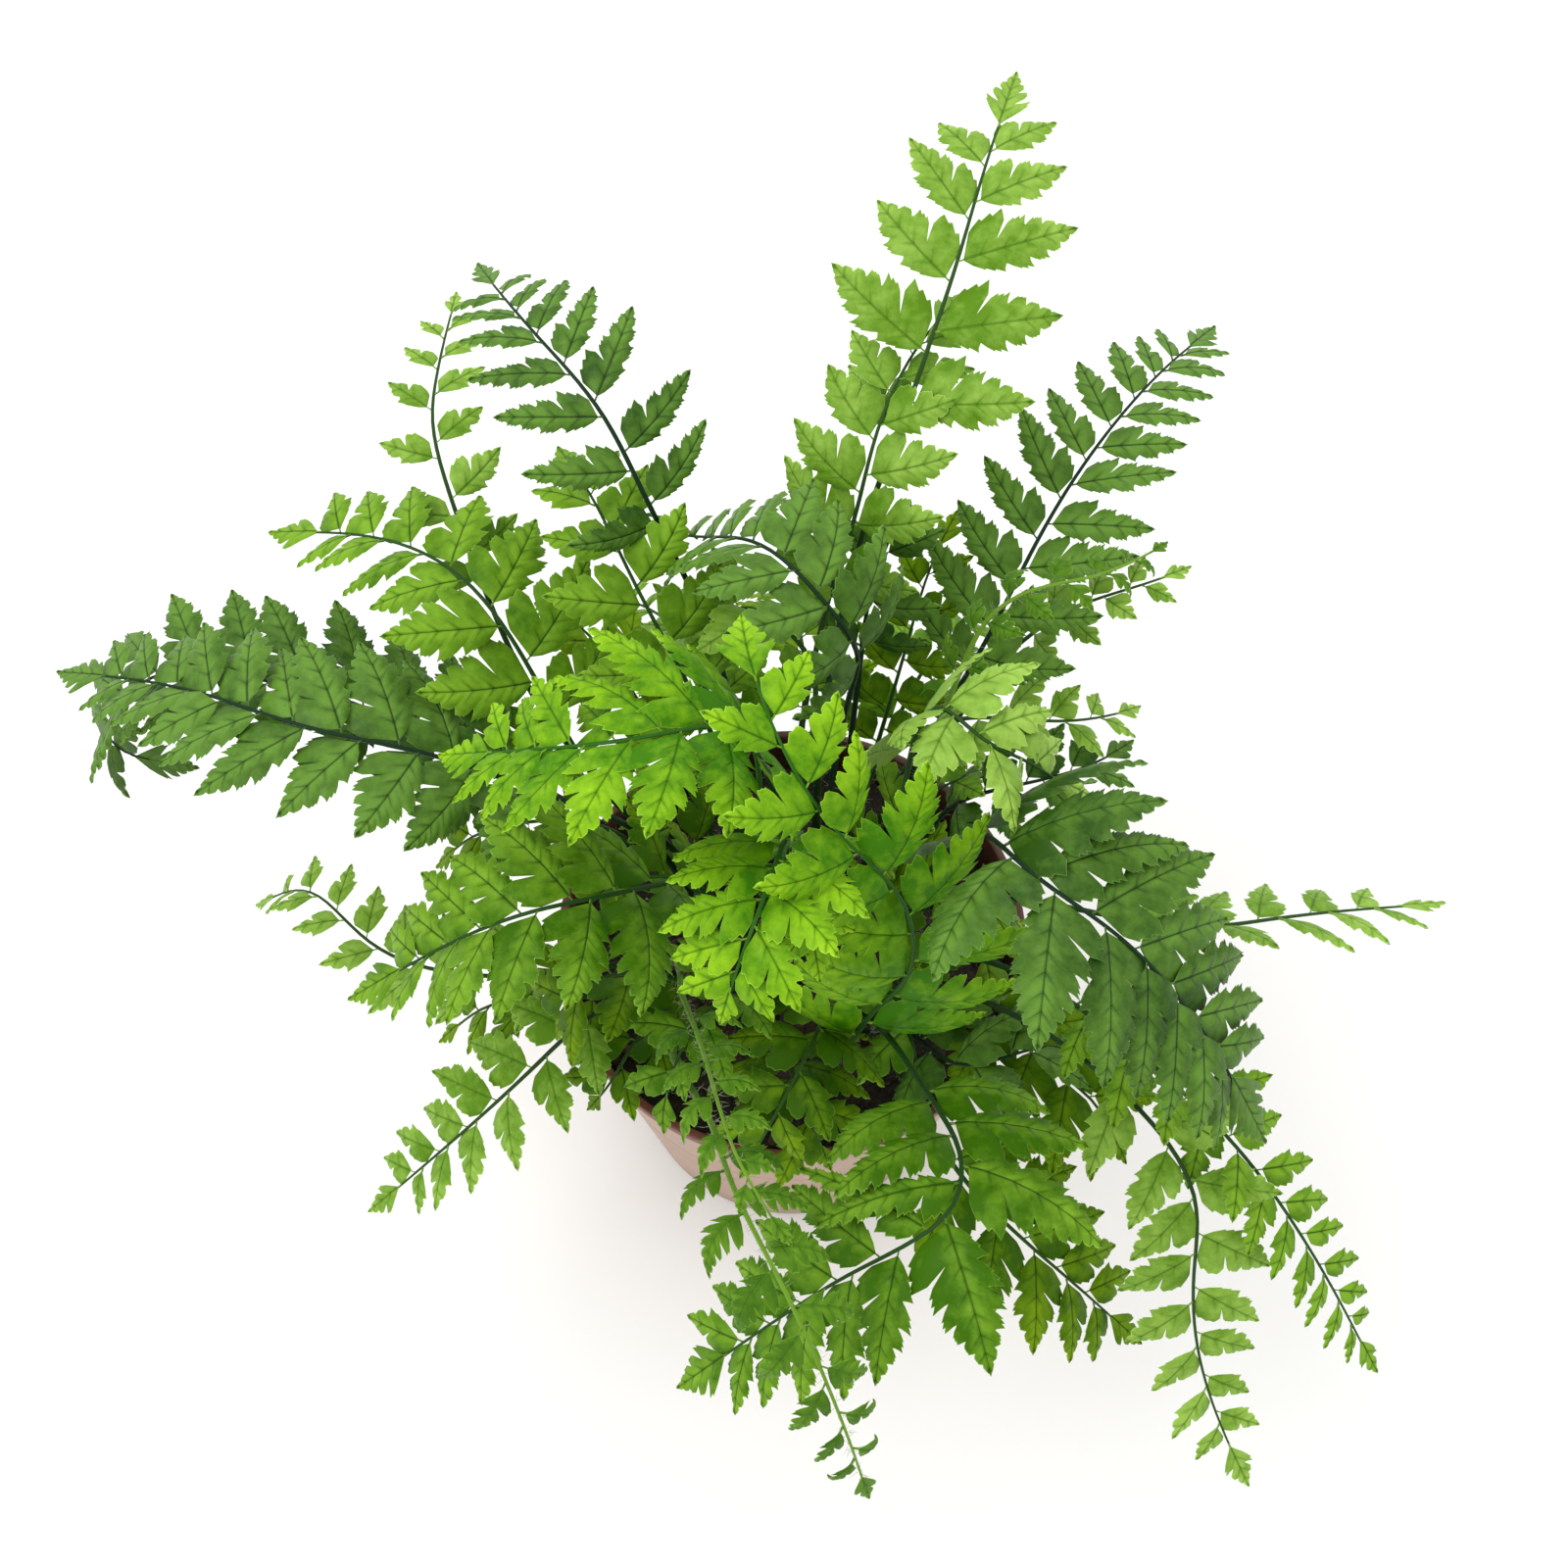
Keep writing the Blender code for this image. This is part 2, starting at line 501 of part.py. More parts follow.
class Stem:
    """One frond's midline with its frames, read by distance from the foot."""

    def __init__(self, frond, curve):
        self.frond = frond
        self.curve = curve
        self.far = distances(curve)
        self.length = self.far[-1]
        self.blade = STEM_FREE - STEM_FOOT + frond.bare
        start = int(np.searchsorted(self.far, self.blade))
        self.tangent, self.side, self.normal = frames(curve, start, frond.roll)
        self.tip_length = min(0.6 * frond.leaf, 0.2 * (self.length - self.blade))
        self.last = self.length - self.tip_length
        self.pairs = max(2, int(round((self.last - self.blade) / frond.pitch)))

    def plain_rings(self):
        """Places of the rings below the blade: the foot, the soil and along the free stem."""
        places = [0.0, STEM_FREE - STEM_FOOT]
        top = self.blade - 5
        held = self.frame(places[-1])[1]
        for s in np.arange(places[-1] + 4, top - 6, 2.0):
            tangent = self.frame(s)[1]
            turned_by = math.degrees(math.acos(min(1, np.dot(tangent, held))))
            if turned_by > STEM_RING_TURN or s - places[-1] > STEM_RING_SPACING:
                places.append(float(s))
                held = tangent
        return places + [top]

    def pair_place(self, k):
        """Distance of a leaflet pair from the foot: pairs draw closer towards the tip."""
        u = k / self.pairs
        share = u * (1 + PAIR_CLOSING) - PAIR_CLOSING * u * u
        return self.blade + (self.last - self.blade) * share

    def pair_rings(self):
        return [self.pair_place(k + RING_OFFSET) for k in range(self.pairs)]

    def rings(self):
        return self.plain_rings() + self.pair_rings() + [self.last]

    def read(self, values, s):
        s = min(max(s, 0), self.length)
        return np.array([np.interp(s, self.far, values[:, k]) for k in range(3)])

    def frame(self, s):
        tangent = unit(self.read(self.tangent, s))
        side = self.read(self.side, s)
        side = unit(side - np.dot(side, tangent) * tangent)
        return self.read(self.curve, s), tangent, side, np.cross(side, tangent)

    def radius(self, s):
        foot = STEM_FREE - STEM_FOOT
        if s < foot:
            return STEM_RADIUS
        if s < self.blade:
            return STEM_RADIUS + (RIB_RADIUS - STEM_RADIUS) * (s - foot) / (self.blade - foot)
        share = (s - self.blade) / (self.length - self.blade)
        return RIB_RADIUS + (TIP_RADIUS - RIB_RADIUS) * share

    def corners(self, s):
        """Left and right edge of the flat upper side, and the keel below."""
        centre, _, side, normal = self.frame(s)
        r = self.radius(s)
        top = centre + normal * 0.55 * r
        return top - side * 0.9 * r, top + side * 0.9 * r, centre - normal * r


Leaf = namedtuple("Leaf", "pair s side window length width angle rise droop twist outline")


def outline_for(length):
    if length > 36:
        return LONG_OUTLINE
    if length > 23:
        return MEDIUM_OUTLINE
    if length > 17:
        return SHORT_OUTLINE
    return SMALL_OUTLINE


def leaf_place(stem, leaf):
    """Function that puts (along, across) on the leaflet's arched upper surface."""
    low, high = leaf.s - leaf.window / 2, leaf.s + leaf.window / 2
    index = 0 if leaf.side < 0 else 1
    root = (stem.corners(low)[index] + stem.corners(high)[index]) / 2
    _, tangent, side, normal = stem.frame(leaf.s)
    angle = math.radians(leaf.angle)
    along = unit(math.cos(angle) * tangent + math.sin(angle) * leaf.side * side)
    across = unit(tangent - np.dot(tangent, along) * along)
    upper = unit(np.cross(across, along) * -leaf.side)
    twist = math.radians(leaf.twist)
    across, upper = (math.cos(twist) * across + math.sin(twist) * upper,
                     math.cos(twist) * upper - math.sin(twist) * across)
    rise, droop = math.radians(leaf.rise), math.radians(max(leaf.droop, 1))

    def place(t, r):
        bend = rise - droop * t
        run = leaf.length / droop * (math.sin(rise) - math.sin(bend))
        lift = leaf.length / droop * (math.cos(bend) - math.cos(rise))
        facing = math.cos(bend) * upper - math.sin(bend) * along
        sideways = r * leaf.width + FALCATE * leaf.length * t * t
        margin = 0.18 * abs(r) * leaf.width
        return root + run * along + lift * upper + sideways * across - margin * facing, facing

    return place


def flat_triangles(outline, rooted):
    """Triangles of an outline laid flat, with its two root corners first where it is rooted.

    Both faces of a leaflet use them, so that a curved leaflet keeps its thickness.
    """
    flat = [Vector((0, -0.02, 0)), Vector((0, 0.02, 0))] if rooted else []
    flat += [Vector((t, 0.4 * r, 0)) for t, r in outline]
    turned_over = []
    for a, b, c in tessellate_polygon([flat]):
        if (flat[b] - flat[a]).cross(flat[c] - flat[a]).z > 0:
            b, c = c, b
        turned_over.append((a, b, c))
    return turned_over


def leaf_points(stem, leaf, grow=0.0):
    """Upper and lower outline points, thicker and wider by grow for clearance tests."""
    place = leaf_place(stem, leaf)
    upper, lower = [], []
    for t, r in leaf.outline:
        wider = r + math.copysign(grow / leaf.width, r) if r else r
        point, facing = place(t + (grow / leaf.length if t > 0.9 else 0), wider)
        upper.append(point + facing * grow)
        lower.append(point - facing * (BLADE_THICKNESS + grow))
    return upper, lower


def leaf_root(stem, leaf, grow=0.0):
    """Upper and lower corners of a leaflet's root: the stem's edge above and its keel below."""
    index = 0 if leaf.side < 0 else 1
    facing = leaf_place(stem, leaf)(0, 0)[1]
    corners = [stem.corners(leaf.s + edge * leaf.window)[index] for edge in (-0.5, 0.5)]
    keel = stem.corners(stem.pair_rings()[leaf.pair])[2]
    return [corner + facing * grow for corner in corners], [keel - facing * grow] * 2


def leaf_body(stem, leaf, grow, rooted):
    """Clearance body of a leaflet, with or without the root that touches its own stem."""
    upper, lower = leaf_points(stem, leaf, grow)
    if rooted:
        root = leaf_root(stem, leaf, grow)
        upper, lower = root[0] + upper, root[1] + lower
    return Obstacle(*slab(upper, lower, flat_triangles(leaf.outline, rooted)))


def slab(upper, lower, top):
    """Closed plate between two outlines, as points and triangles."""
    count = len(upper)
    tris = top + [(c + count, b + count, a + count) for a, b, c in top]
    for i in range(count):
        j = (i + 1) % count
        tris += [(i, j, j + count), (i, j + count, i + count)]
    return [tuple(p) for p in upper + lower], tris


def stem_tube(stem):
    """Three-sided tube round a stem, as points and triangles."""
    places = stem.rings()
    points, tris = [], []
    for s in places:
        points += [tuple(p) for p in stem.corners(s)]
    for k in range(len(places) - 1):
        for a, b in ((0, 1), (1, 2), (2, 0)):
            i = 3 * k
            tris += [(i + a, i + b, i + b + 3), (i + a, i + b + 3, i + a + 3)]
    return points, tris


def lathe(profile, centre=(0, 0), sides=POT_SIDES):
    """Surface of revolution in millimetres, as points and triangles."""
    points, tris = [], []
    for r, z in profile:
        for k in range(sides):
            turn = 2 * math.pi * k / sides
            points.append((centre[0] / MM + r / MM * math.cos(turn),
                           centre[1] / MM + r / MM * math.sin(turn), z / MM))
    for i in range(len(profile) - 1):
        for k in range(sides):
            n = (k + 1) % sides
            a, b, c, d = i * sides + k, i * sides + n, (i + 1) * sides + n, (i + 1) * sides + k
            tris += [(a, b, c), (a, c, d)]
    return points, tris


class Obstacle:
    """A body that leaflets have to miss, with its box for a quick first test."""

    def __init__(self, points, tris):
        array = np.array(points)
        self.low = array.min(axis=0)
        self.high = array.max(axis=0)
        self.tree = BVHTree.FromPolygons(points, tris)

    def meets(self, other):
        if np.any(self.low > other.high) or np.any(other.low > self.high):
            return False
        return bool(self.tree.overlap(other.tree))


def wished_leaves(stem, rng):
    """Pairs of leaflets along the blade, before anything is bent clear."""
    frond, pairs = stem.frond, stem.pairs
    wishes = []
    for k in range(pairs):
        q = k / pairs
        for side in (-1, 1):
            offset = LEFT_OFFSET if side < 0 else RIGHT_OFFSET
            s = stem.pair_place(k + offset + rng.uniform(-0.02, 0.04))
            pitch = stem.pair_place(k + 1) - stem.pair_place(k)
            full = 0.9 + 0.1 * min(1, k / 1.5)
            length = frond.leaf * full * (1 - 0.62 * q ** 1.8) * rng.uniform(0.92, 1.06)
            angle = 70 - 24 * q + rng.uniform(-5, 5)
            width = 0.30 * length + 2.4
            width = min(width, 1.15 * pitch * math.sin(math.radians(angle)))
            window = 1.7 if length > 9 else 1.2
            rise = 14 + rng.uniform(-6, 8)
            droop = 26 + rng.uniform(-8, 14)
            wishes.append(Leaf(k, s, side, window, length, width, angle, rise, droop,
                               rng.uniform(-6, 6), outline_for(length)))
    return wishes


def settled_leaf(stem, wish, obstacles, own_tube):
    """The leaflet bent, and if need be shortened, until it misses everything placed before."""
    for size in (1.0, 0.85, 0.68, 0.5):
        length = wish.length * size
        width = min(wish.width, 0.3 * length + 1.8)
        for bend in (0, 10, -10, 20, -20, 32, -32, 46, -46):
            for twist in (0, 14, -14):
                trial = wish._replace(length=length, width=width, rise=wish.rise + bend,
                                      twist=wish.twist + twist, outline=outline_for(length))
                if leaf_body(stem, trial, LEAF_CLEARANCE, False).meets(own_tube):
                    continue
                body = leaf_body(stem, trial, LEAF_CLEARANCE, True)
                if not any(body.meets(obstacle) for obstacle in obstacles):
                    return trial
    return None


def settled_leaves(stem, wishes, obstacles, own_tube):
    """The leaflets that find a clear place, each then in the way of the next."""
    kept = []
    for wish in wishes:
        found = settled_leaf(stem, wish, obstacles, own_tube)
        if found:
            kept.append(found)
            obstacles.append(leaf_body(stem, found, 0.0, True))
    return kept


class FrondMesh:
    """Closed triangle mesh of one frond, grown from its foot to its tip."""

    def __init__(self):
        self.points = []
        self.faces = []

    def add(self, point):
        self.points.append(point)
        return len(self.points) - 1

    def face(self, *corners):
        self.faces.append(corners)

    def blade(self, first, second, keel, outline, upper, lower, flip):
        """Leaflet grown from the stem's edge first-second above and from its keel below."""
        top = [self.add(p) for p in upper]
        bottom = [self.add(p) for p in lower]
        over = [first, second] + top
        under = [keel, keel] + bottom
        tris = []
        for a, b, c in flat_triangles(outline, True):
            tris.append((over[a], over[b], over[c]))
            if not {0, 1} <= {a, b, c}:
                tris.append((under[c], under[b], under[a]))
        for i in range(len(top) - 1):
            tris.append((top[i + 1], top[i], bottom[i]))
            tris.append((top[i + 1], bottom[i], bottom[i + 1]))
        tris += [(top[0], second, keel), (top[0], keel, bottom[0])]
        tris += [(first, top[-1], bottom[-1]), (first, bottom[-1], keel)]
        for a, b, c in tris:
            self.face(*((a, c, b) if flip else (a, b, c)))

    def edge(self, stem, leaf, index, plain):
        """Corners of a ring's edge: two where a leaflet grows from it, or one plain one."""
        if not leaf:
            corner = self.add(plain)
            return corner, corner
        low = stem.corners(leaf.s - leaf.window / 2)[index]
        high = stem.corners(leaf.s + leaf.window / 2)[index]
        return self.add(low), self.add(high)


def frond_mesh(stem, leaves, tip):
    """Stem rings joined in order, each leaflet opening its ring on its own side."""
    mesh = FrondMesh()
    placed = {(leaf.pair, leaf.side): leaf for leaf in leaves}
    rings = [(s, None) for s in stem.plain_rings()]
    rings += [(s, k) for k, s in enumerate(stem.pair_rings())]
    rings.append((stem.last, None))
    previous = None
    for s, pair in rings:
        left, right, keel = stem.corners(s)
        pair_leaves = [placed.get((pair, side)) for side in (-1, 1)]
        left_low, left_high = mesh.edge(stem, pair_leaves[0], 0, left)
        right_low, right_high = mesh.edge(stem, pair_leaves[1], 1, right)
        below = mesh.add(keel)
        if previous:
            last_left, last_right, last_below = previous
            mesh.face(last_left, last_right, right_low)
            mesh.face(last_left, right_low, left_low)
            mesh.face(last_left, left_low, below)
            mesh.face(last_left, below, last_below)
            mesh.face(last_right, last_below, below)
            mesh.face(last_right, below, right_low)
        else:
            mesh.face(left_low, below, right_low)
        if left_low != left_high:
            mesh.face(left_low, right_low, left_high)
        if right_low != right_high:
            mesh.face(left_high, right_low, right_high)
        for leaf, low, high in zip(pair_leaves, (left_low, right_low), (left_high, right_high)):
            if leaf:
                upper, lower = leaf_points(stem, leaf)
                mesh.blade(low, high, below, leaf.outline, upper, lower, leaf.side > 0)
        previous = (left_high, right_high, below)
    left, right, below = previous
    if tip:
        outline, upper, lower = tip
        mesh.blade(left, right, below, outline, upper, lower, False)
    else:
        mesh.face(left, right, below)
    return mesh.points, mesh.faces


def tip_blade(stem, length, grow=0.0, lift=0.0):
    """Lobed tip of the blade, which follows the stem's own curve."""
    last = stem.last
    outline = TIP_OUTLINE if length > 12 else SMALL_TIP_OUTLINE
    width = 0.40 * length + 1.2
    slope = math.tan(math.radians(lift))
    upper, lower = [], []
    for t, r in outline:
        centre, tangent, side, normal = stem.frame(last + t * length)
        raised = normal * (0.55 * stem.radius(last) + slope * t * length)
        point = centre + raised + side * r * width - normal * 0.12 * abs(r) * width
        if r:
            point = point + side * math.copysign(grow, r)
        else:
            point = point + tangent * grow
        upper.append(point + normal * grow)
        lower.append(point - normal * (BLADE_THICKNESS + grow))
    return outline, upper, lower


def settled_tip(stem, obstacles):
    """The frond's tip, lifted or shortened until it misses everything placed before."""
    for size in (1.0, 0.75, 0.5, 0.35):
        for lift in (0, 12, -12, 24, -24, 38, -38):
            length = stem.tip_length * size
            outline, upper, lower = tip_blade(stem, length, LEAF_CLEARANCE, lift)
            flat = flat_triangles(outline, False)
            body = Obstacle(*slab(upper, lower, flat))
            if any(body.meets(obstacle) for obstacle in obstacles):
                continue
            outline, upper, lower = tip_blade(stem, length, 0.0, lift)
            obstacles.append(Obstacle(*slab(upper, lower, flat)))
            return outline, upper, lower
    return None


def stem_curves(feet):
    """Midlines of all fronds, upright in their sockets and bent clear of one another."""
    curves = []
    for frond, foot in zip(FRONDS, feet):
        heights = np.arange(STEM_FOOT, STEM_FREE, CURVE_STEP)
        upright = [(foot[0], foot[1], z) for z in heights]
        free = spline([(foot[0], foot[1], STEM_FREE)] + frond.route, (0, 0, 1))
        curves.append(resampled(np.concatenate([upright, free])))
    return pushed_apart(curves)


def make_fronds(collection, feet):
    stems = [Stem(frond, curve) for frond, curve in zip(FRONDS, stem_curves(feet))]
    outer, inner = pot_profile()
    obstacles = [Obstacle(*lathe(inner + outer)), Obstacle(*lathe(soil_profile())),
                 Obstacle(*lathe(rhizome_profile(), RHIZOME_CENTRE, RHIZOME_SIDES))]
    tubes = [Obstacle(*stem_tube(stem)) for stem in stems]
    for index, stem in enumerate(stems):
        rng = random.Random(SEED * 1000 + index)
        wishes = wished_leaves(stem, rng)
        blocks = obstacles + tubes[:index] + tubes[index + 1:]
        before = len(blocks)
        tip = settled_tip(stem, blocks)
        leaves = settled_leaves(stem, wishes, blocks, tubes[index])
        obstacles += blocks[before:]
        points, faces = frond_mesh(stem, leaves, tip)
        name = "frond_" + stem.frond.name
        finish = material(name + "_green", COLOURS[stem.frond.tone], 0.55)
        add_object(name, mesh_of(name, np.array(points) * MM, faces), collection, finish)
        print(name, "leaflets", len(leaves), "of", len(wishes), "triangles", len(faces))


def main():
    for old in list(bpy.data.objects):
        bpy.data.objects.remove(old, do_unlink=True)
    parts = bpy.data.collections.new("potted_rock_fern")
    cutters = bpy.data.collections.new("cutters")
    bpy.context.scene.collection.children.link(parts)
    bpy.context.scene.collection.children.link(cutters)
    feet = spaced_feet()
    make_pot(parts, cutters)
    make_soil(parts, cutters)
    make_rhizome(parts, cutters, feet)
    make_fronds(parts, feet)


main()
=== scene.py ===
import math
import random
from collections import namedtuple

import bpy
import numpy as np
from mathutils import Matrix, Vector, noise
from mathutils.kdtree import KDTree


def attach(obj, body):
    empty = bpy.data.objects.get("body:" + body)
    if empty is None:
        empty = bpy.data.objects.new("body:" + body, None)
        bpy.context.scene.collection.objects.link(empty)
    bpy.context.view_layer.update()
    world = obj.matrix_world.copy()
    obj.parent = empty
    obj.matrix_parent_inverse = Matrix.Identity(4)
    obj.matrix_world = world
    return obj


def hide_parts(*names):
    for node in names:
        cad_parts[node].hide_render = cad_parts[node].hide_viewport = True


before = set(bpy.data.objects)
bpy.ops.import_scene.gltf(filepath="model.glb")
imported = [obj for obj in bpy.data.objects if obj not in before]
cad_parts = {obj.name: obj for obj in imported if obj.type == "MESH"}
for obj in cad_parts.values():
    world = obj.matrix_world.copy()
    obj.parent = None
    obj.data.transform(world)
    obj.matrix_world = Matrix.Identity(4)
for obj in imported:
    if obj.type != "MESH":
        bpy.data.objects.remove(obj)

mm = 0.001
fullTurn = 2 * math.pi
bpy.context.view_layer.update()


# A socket that can be added, subtracted and multiplied; each operator adds a Math node.
class Sock:
    def __init__(self, finish, out):
        self.finish = finish
        self.out = out

    def maths(self, operation, *values, clamp=False):
        settings = {"operation": operation, "use_clamp": clamp}
        return self.finish.node("ShaderNodeMath", settings, dict(enumerate(values)))

    def __add__(self, other):
        return self.maths("ADD", self, other)

    def __sub__(self, other):
        return self.maths("SUBTRACT", self, other)

    def __rsub__(self, other):
        return self.maths("SUBTRACT", other, self)

    def __mul__(self, other):
        return self.maths("MULTIPLY", self, other)

    __radd__ = __add__
    __rmul__ = __mul__

    def clamped(self):  # kept between 0 and 1
        return self.maths("MULTIPLY_ADD", self, 1, 0, clamp=True)

    def within(self, low, high):  # 0 at low, 1 at high, smooth between, in either order
        falls = low > high
        sockets = {"Value": self, "From Min": min(low, high), "From Max": max(low, high),
                   "To Min": float(falls), "To Max": float(not falls)}
        return self.finish.node("ShaderNodeMapRange", {"interpolation_type": "SMOOTHSTEP"}, sockets)


# A material being put together: every node comes from node().
class Finish:
    def __init__(self, name, roughness, specular=0.5):
        self.material = bpy.data.materials.new(name)
        self.material.use_nodes = True
        self.tree = self.material.node_tree
        self.shader = self.tree.nodes["Principled BSDF"]
        self.feed(self.shader, {"Roughness": roughness, "Specular IOR Level": specular})

    def feed(self, node, sockets):
        for name, value in sockets.items():
            if isinstance(value, Sock):
                self.tree.links.new(value.out, node.inputs[name])
            else:
                node.inputs[name].default_value = value

    def node(self, kind, settings, sockets, out=0):
        made = self.tree.nodes.new(kind)
        for name, value in settings.items():
            setattr(made, name, value)
        self.feed(made, sockets)
        return Sock(self, made.outputs[out])

    def attribute(self, name):  # the three numbers that a mesh carries under this name
        read = self.node("ShaderNodeAttribute", {"attribute_name": name}, {}, "Vector")
        apart = self.node("ShaderNodeSeparateXYZ", {}, {0: read})
        return [Sock(self, socket) for socket in apart.out.node.outputs]

    def place(self):
        return self.node("ShaderNodeTexCoord", {}, {}, "Object")

    def noise(self, scale, detail, roughness=0.55):
        sockets = {"Vector": self.place(), "Scale": scale, "Detail": detail, "Roughness": roughness}
        return self.node("ShaderNodeTexNoise", {}, sockets)

    def cells(self, scale):
        sockets = {"Vector": self.place(), "Scale": scale}
        return self.node("ShaderNodeTexVoronoi", {}, sockets, "Distance")

    def mix(self, share, *colours):
        first, second = [(*x, 1) if isinstance(x, tuple) else x for x in colours]
        return self.node("ShaderNodeMix", {"data_type": "RGBA"}, {0: share, 6: first, 7: second}, 2)

    # what varies goes to the shader; a bump is its height, distance in metres and strength
    def done(self, colour, rough, bump=None):
        self.feed(self.shader, {"Base Color": colour, "Roughness": rough})
        if bump:
            sockets = dict(zip(("Height", "Distance", "Strength"), bump))
            self.feed(self.shader, {"Normal": self.node("ShaderNodeBump", {}, sockets)})
        return self


def shaded(colour, share, lift=0):
    return tuple(share * x + lift for x in colour)


def added(name, data):
    made = bpy.data.objects.new(name, data)
    bpy.context.scene.collection.objects.link(made)
    return made


def carry(mesh, label, rows):  # three numbers at each point, which a finish reads by this name
    kept = mesh.attributes.new(label, "FLOAT_VECTOR", "POINT")
    kept.data.foreach_set("vector", np.asarray(rows, np.float32).ravel())


def handOver(made, node):
    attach(made, "root")
    if node:
        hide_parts(node)


class Heap:  # closed shapes gathered into one mesh, in millimetres
    def __init__(self):
        self.points, self.faces, self.slots, self.hard = [], [], [], []
        self.maps = {}
        self.count = 0

    def add(self, points, faces, slot=0, hard=False, **maps):
        self.faces += [tuple(i + self.count for i in face) for face in faces]
        self.slots += [slot] * len(faces)
        self.points.append(points)
        self.hard.append(np.broadcast_to(hard, len(points)))
        for label, rows in maps.items():
            self.maps.setdefault(label, []).append(np.broadcast_to(rows, (len(points), 3)))
        self.count += len(points)

    def piece(self, name, finishes, slot, node=None):
        mesh = bpy.data.meshes.new(name)
        mesh.from_pydata(np.concatenate(self.points) * mm, [], self.faces)
        for finish in finishes:
            mesh.materials.append(finish.material)
        mesh.polygons.foreach_set("use_smooth", np.ones(len(self.faces), bool))
        mesh.polygons.foreach_set("material_index", np.array(self.slots, np.int32))
        for label, rows in self.maps.items():
            carry(mesh, label, np.concatenate(rows))
        hard = np.concatenate(self.hard)
        if hard.any():  # edges between two marked points stay sharp
            ends = np.zeros(len(mesh.edges) * 2, np.int32)
            mesh.edges.foreach_get("vertices", ends)
            sharp = mesh.attributes.new("sharp_edge", "BOOLEAN", "EDGE")
            sharp.data.foreach_set("value", hard[ends].reshape(-1, 2).all(axis=1))
        handOver(added(name, mesh), node)


# The faces between rings of points that follow one another, from the point numbered first on.
def walls(rings, sides, first=0, flip=False):
    made = []
    for i in range(rings - 1):
        low, high = first + i * sides, first + (i + 1) * sides
        for k in range(sides):
            n = (k + 1) % sides
            face = (low + k, high + k, high + n, low + n)
            made.append((face[0], face[3], face[2], face[1]) if flip else face)
    return made


def tube(rings, sides, flip=False):  # walls, and a face at either end
    ends = [tuple(range(sides)), tuple(range((rings - 1) * sides, rings * sides))[::-1]]
    return walls(rings, sides, 0, flip) + [end[::-1] if flip else end for end in ends]


def circle(centre, radius, sides):
    turns = [fullTurn * k / sides for k in range(sides)]
    return [(centre[0] + radius * math.cos(a), centre[1] + radius * math.sin(a)) for a in turns]


def scattered(rng, centre, reach):  # a random place on a disc
    far, a = reach * math.sqrt(rng.random()), rng.uniform(0, fullTurn)
    return centre[0] + far * math.cos(a), centre[1] + far * math.sin(a)


def unit(vector):
    return vector / max(np.linalg.norm(vector), 1e-9)


def units(rows):
    return rows / np.maximum(np.linalg.norm(rows, axis=-1), 1e-9)[..., None]


# Fronds: the routes and the seeded choices of the solids, in millimetres. Leaf is the longest
# leaflet, pitch the way between pairs and bare the stalk below them. A tint below 0 is darker than
# the tone's own, and roll turns the blade about its stalk, at its start and at its end.
Frond = namedtuple("Frond", "name tone tint leaf pitch bare foot route roll", defaults=[(0, 0)])

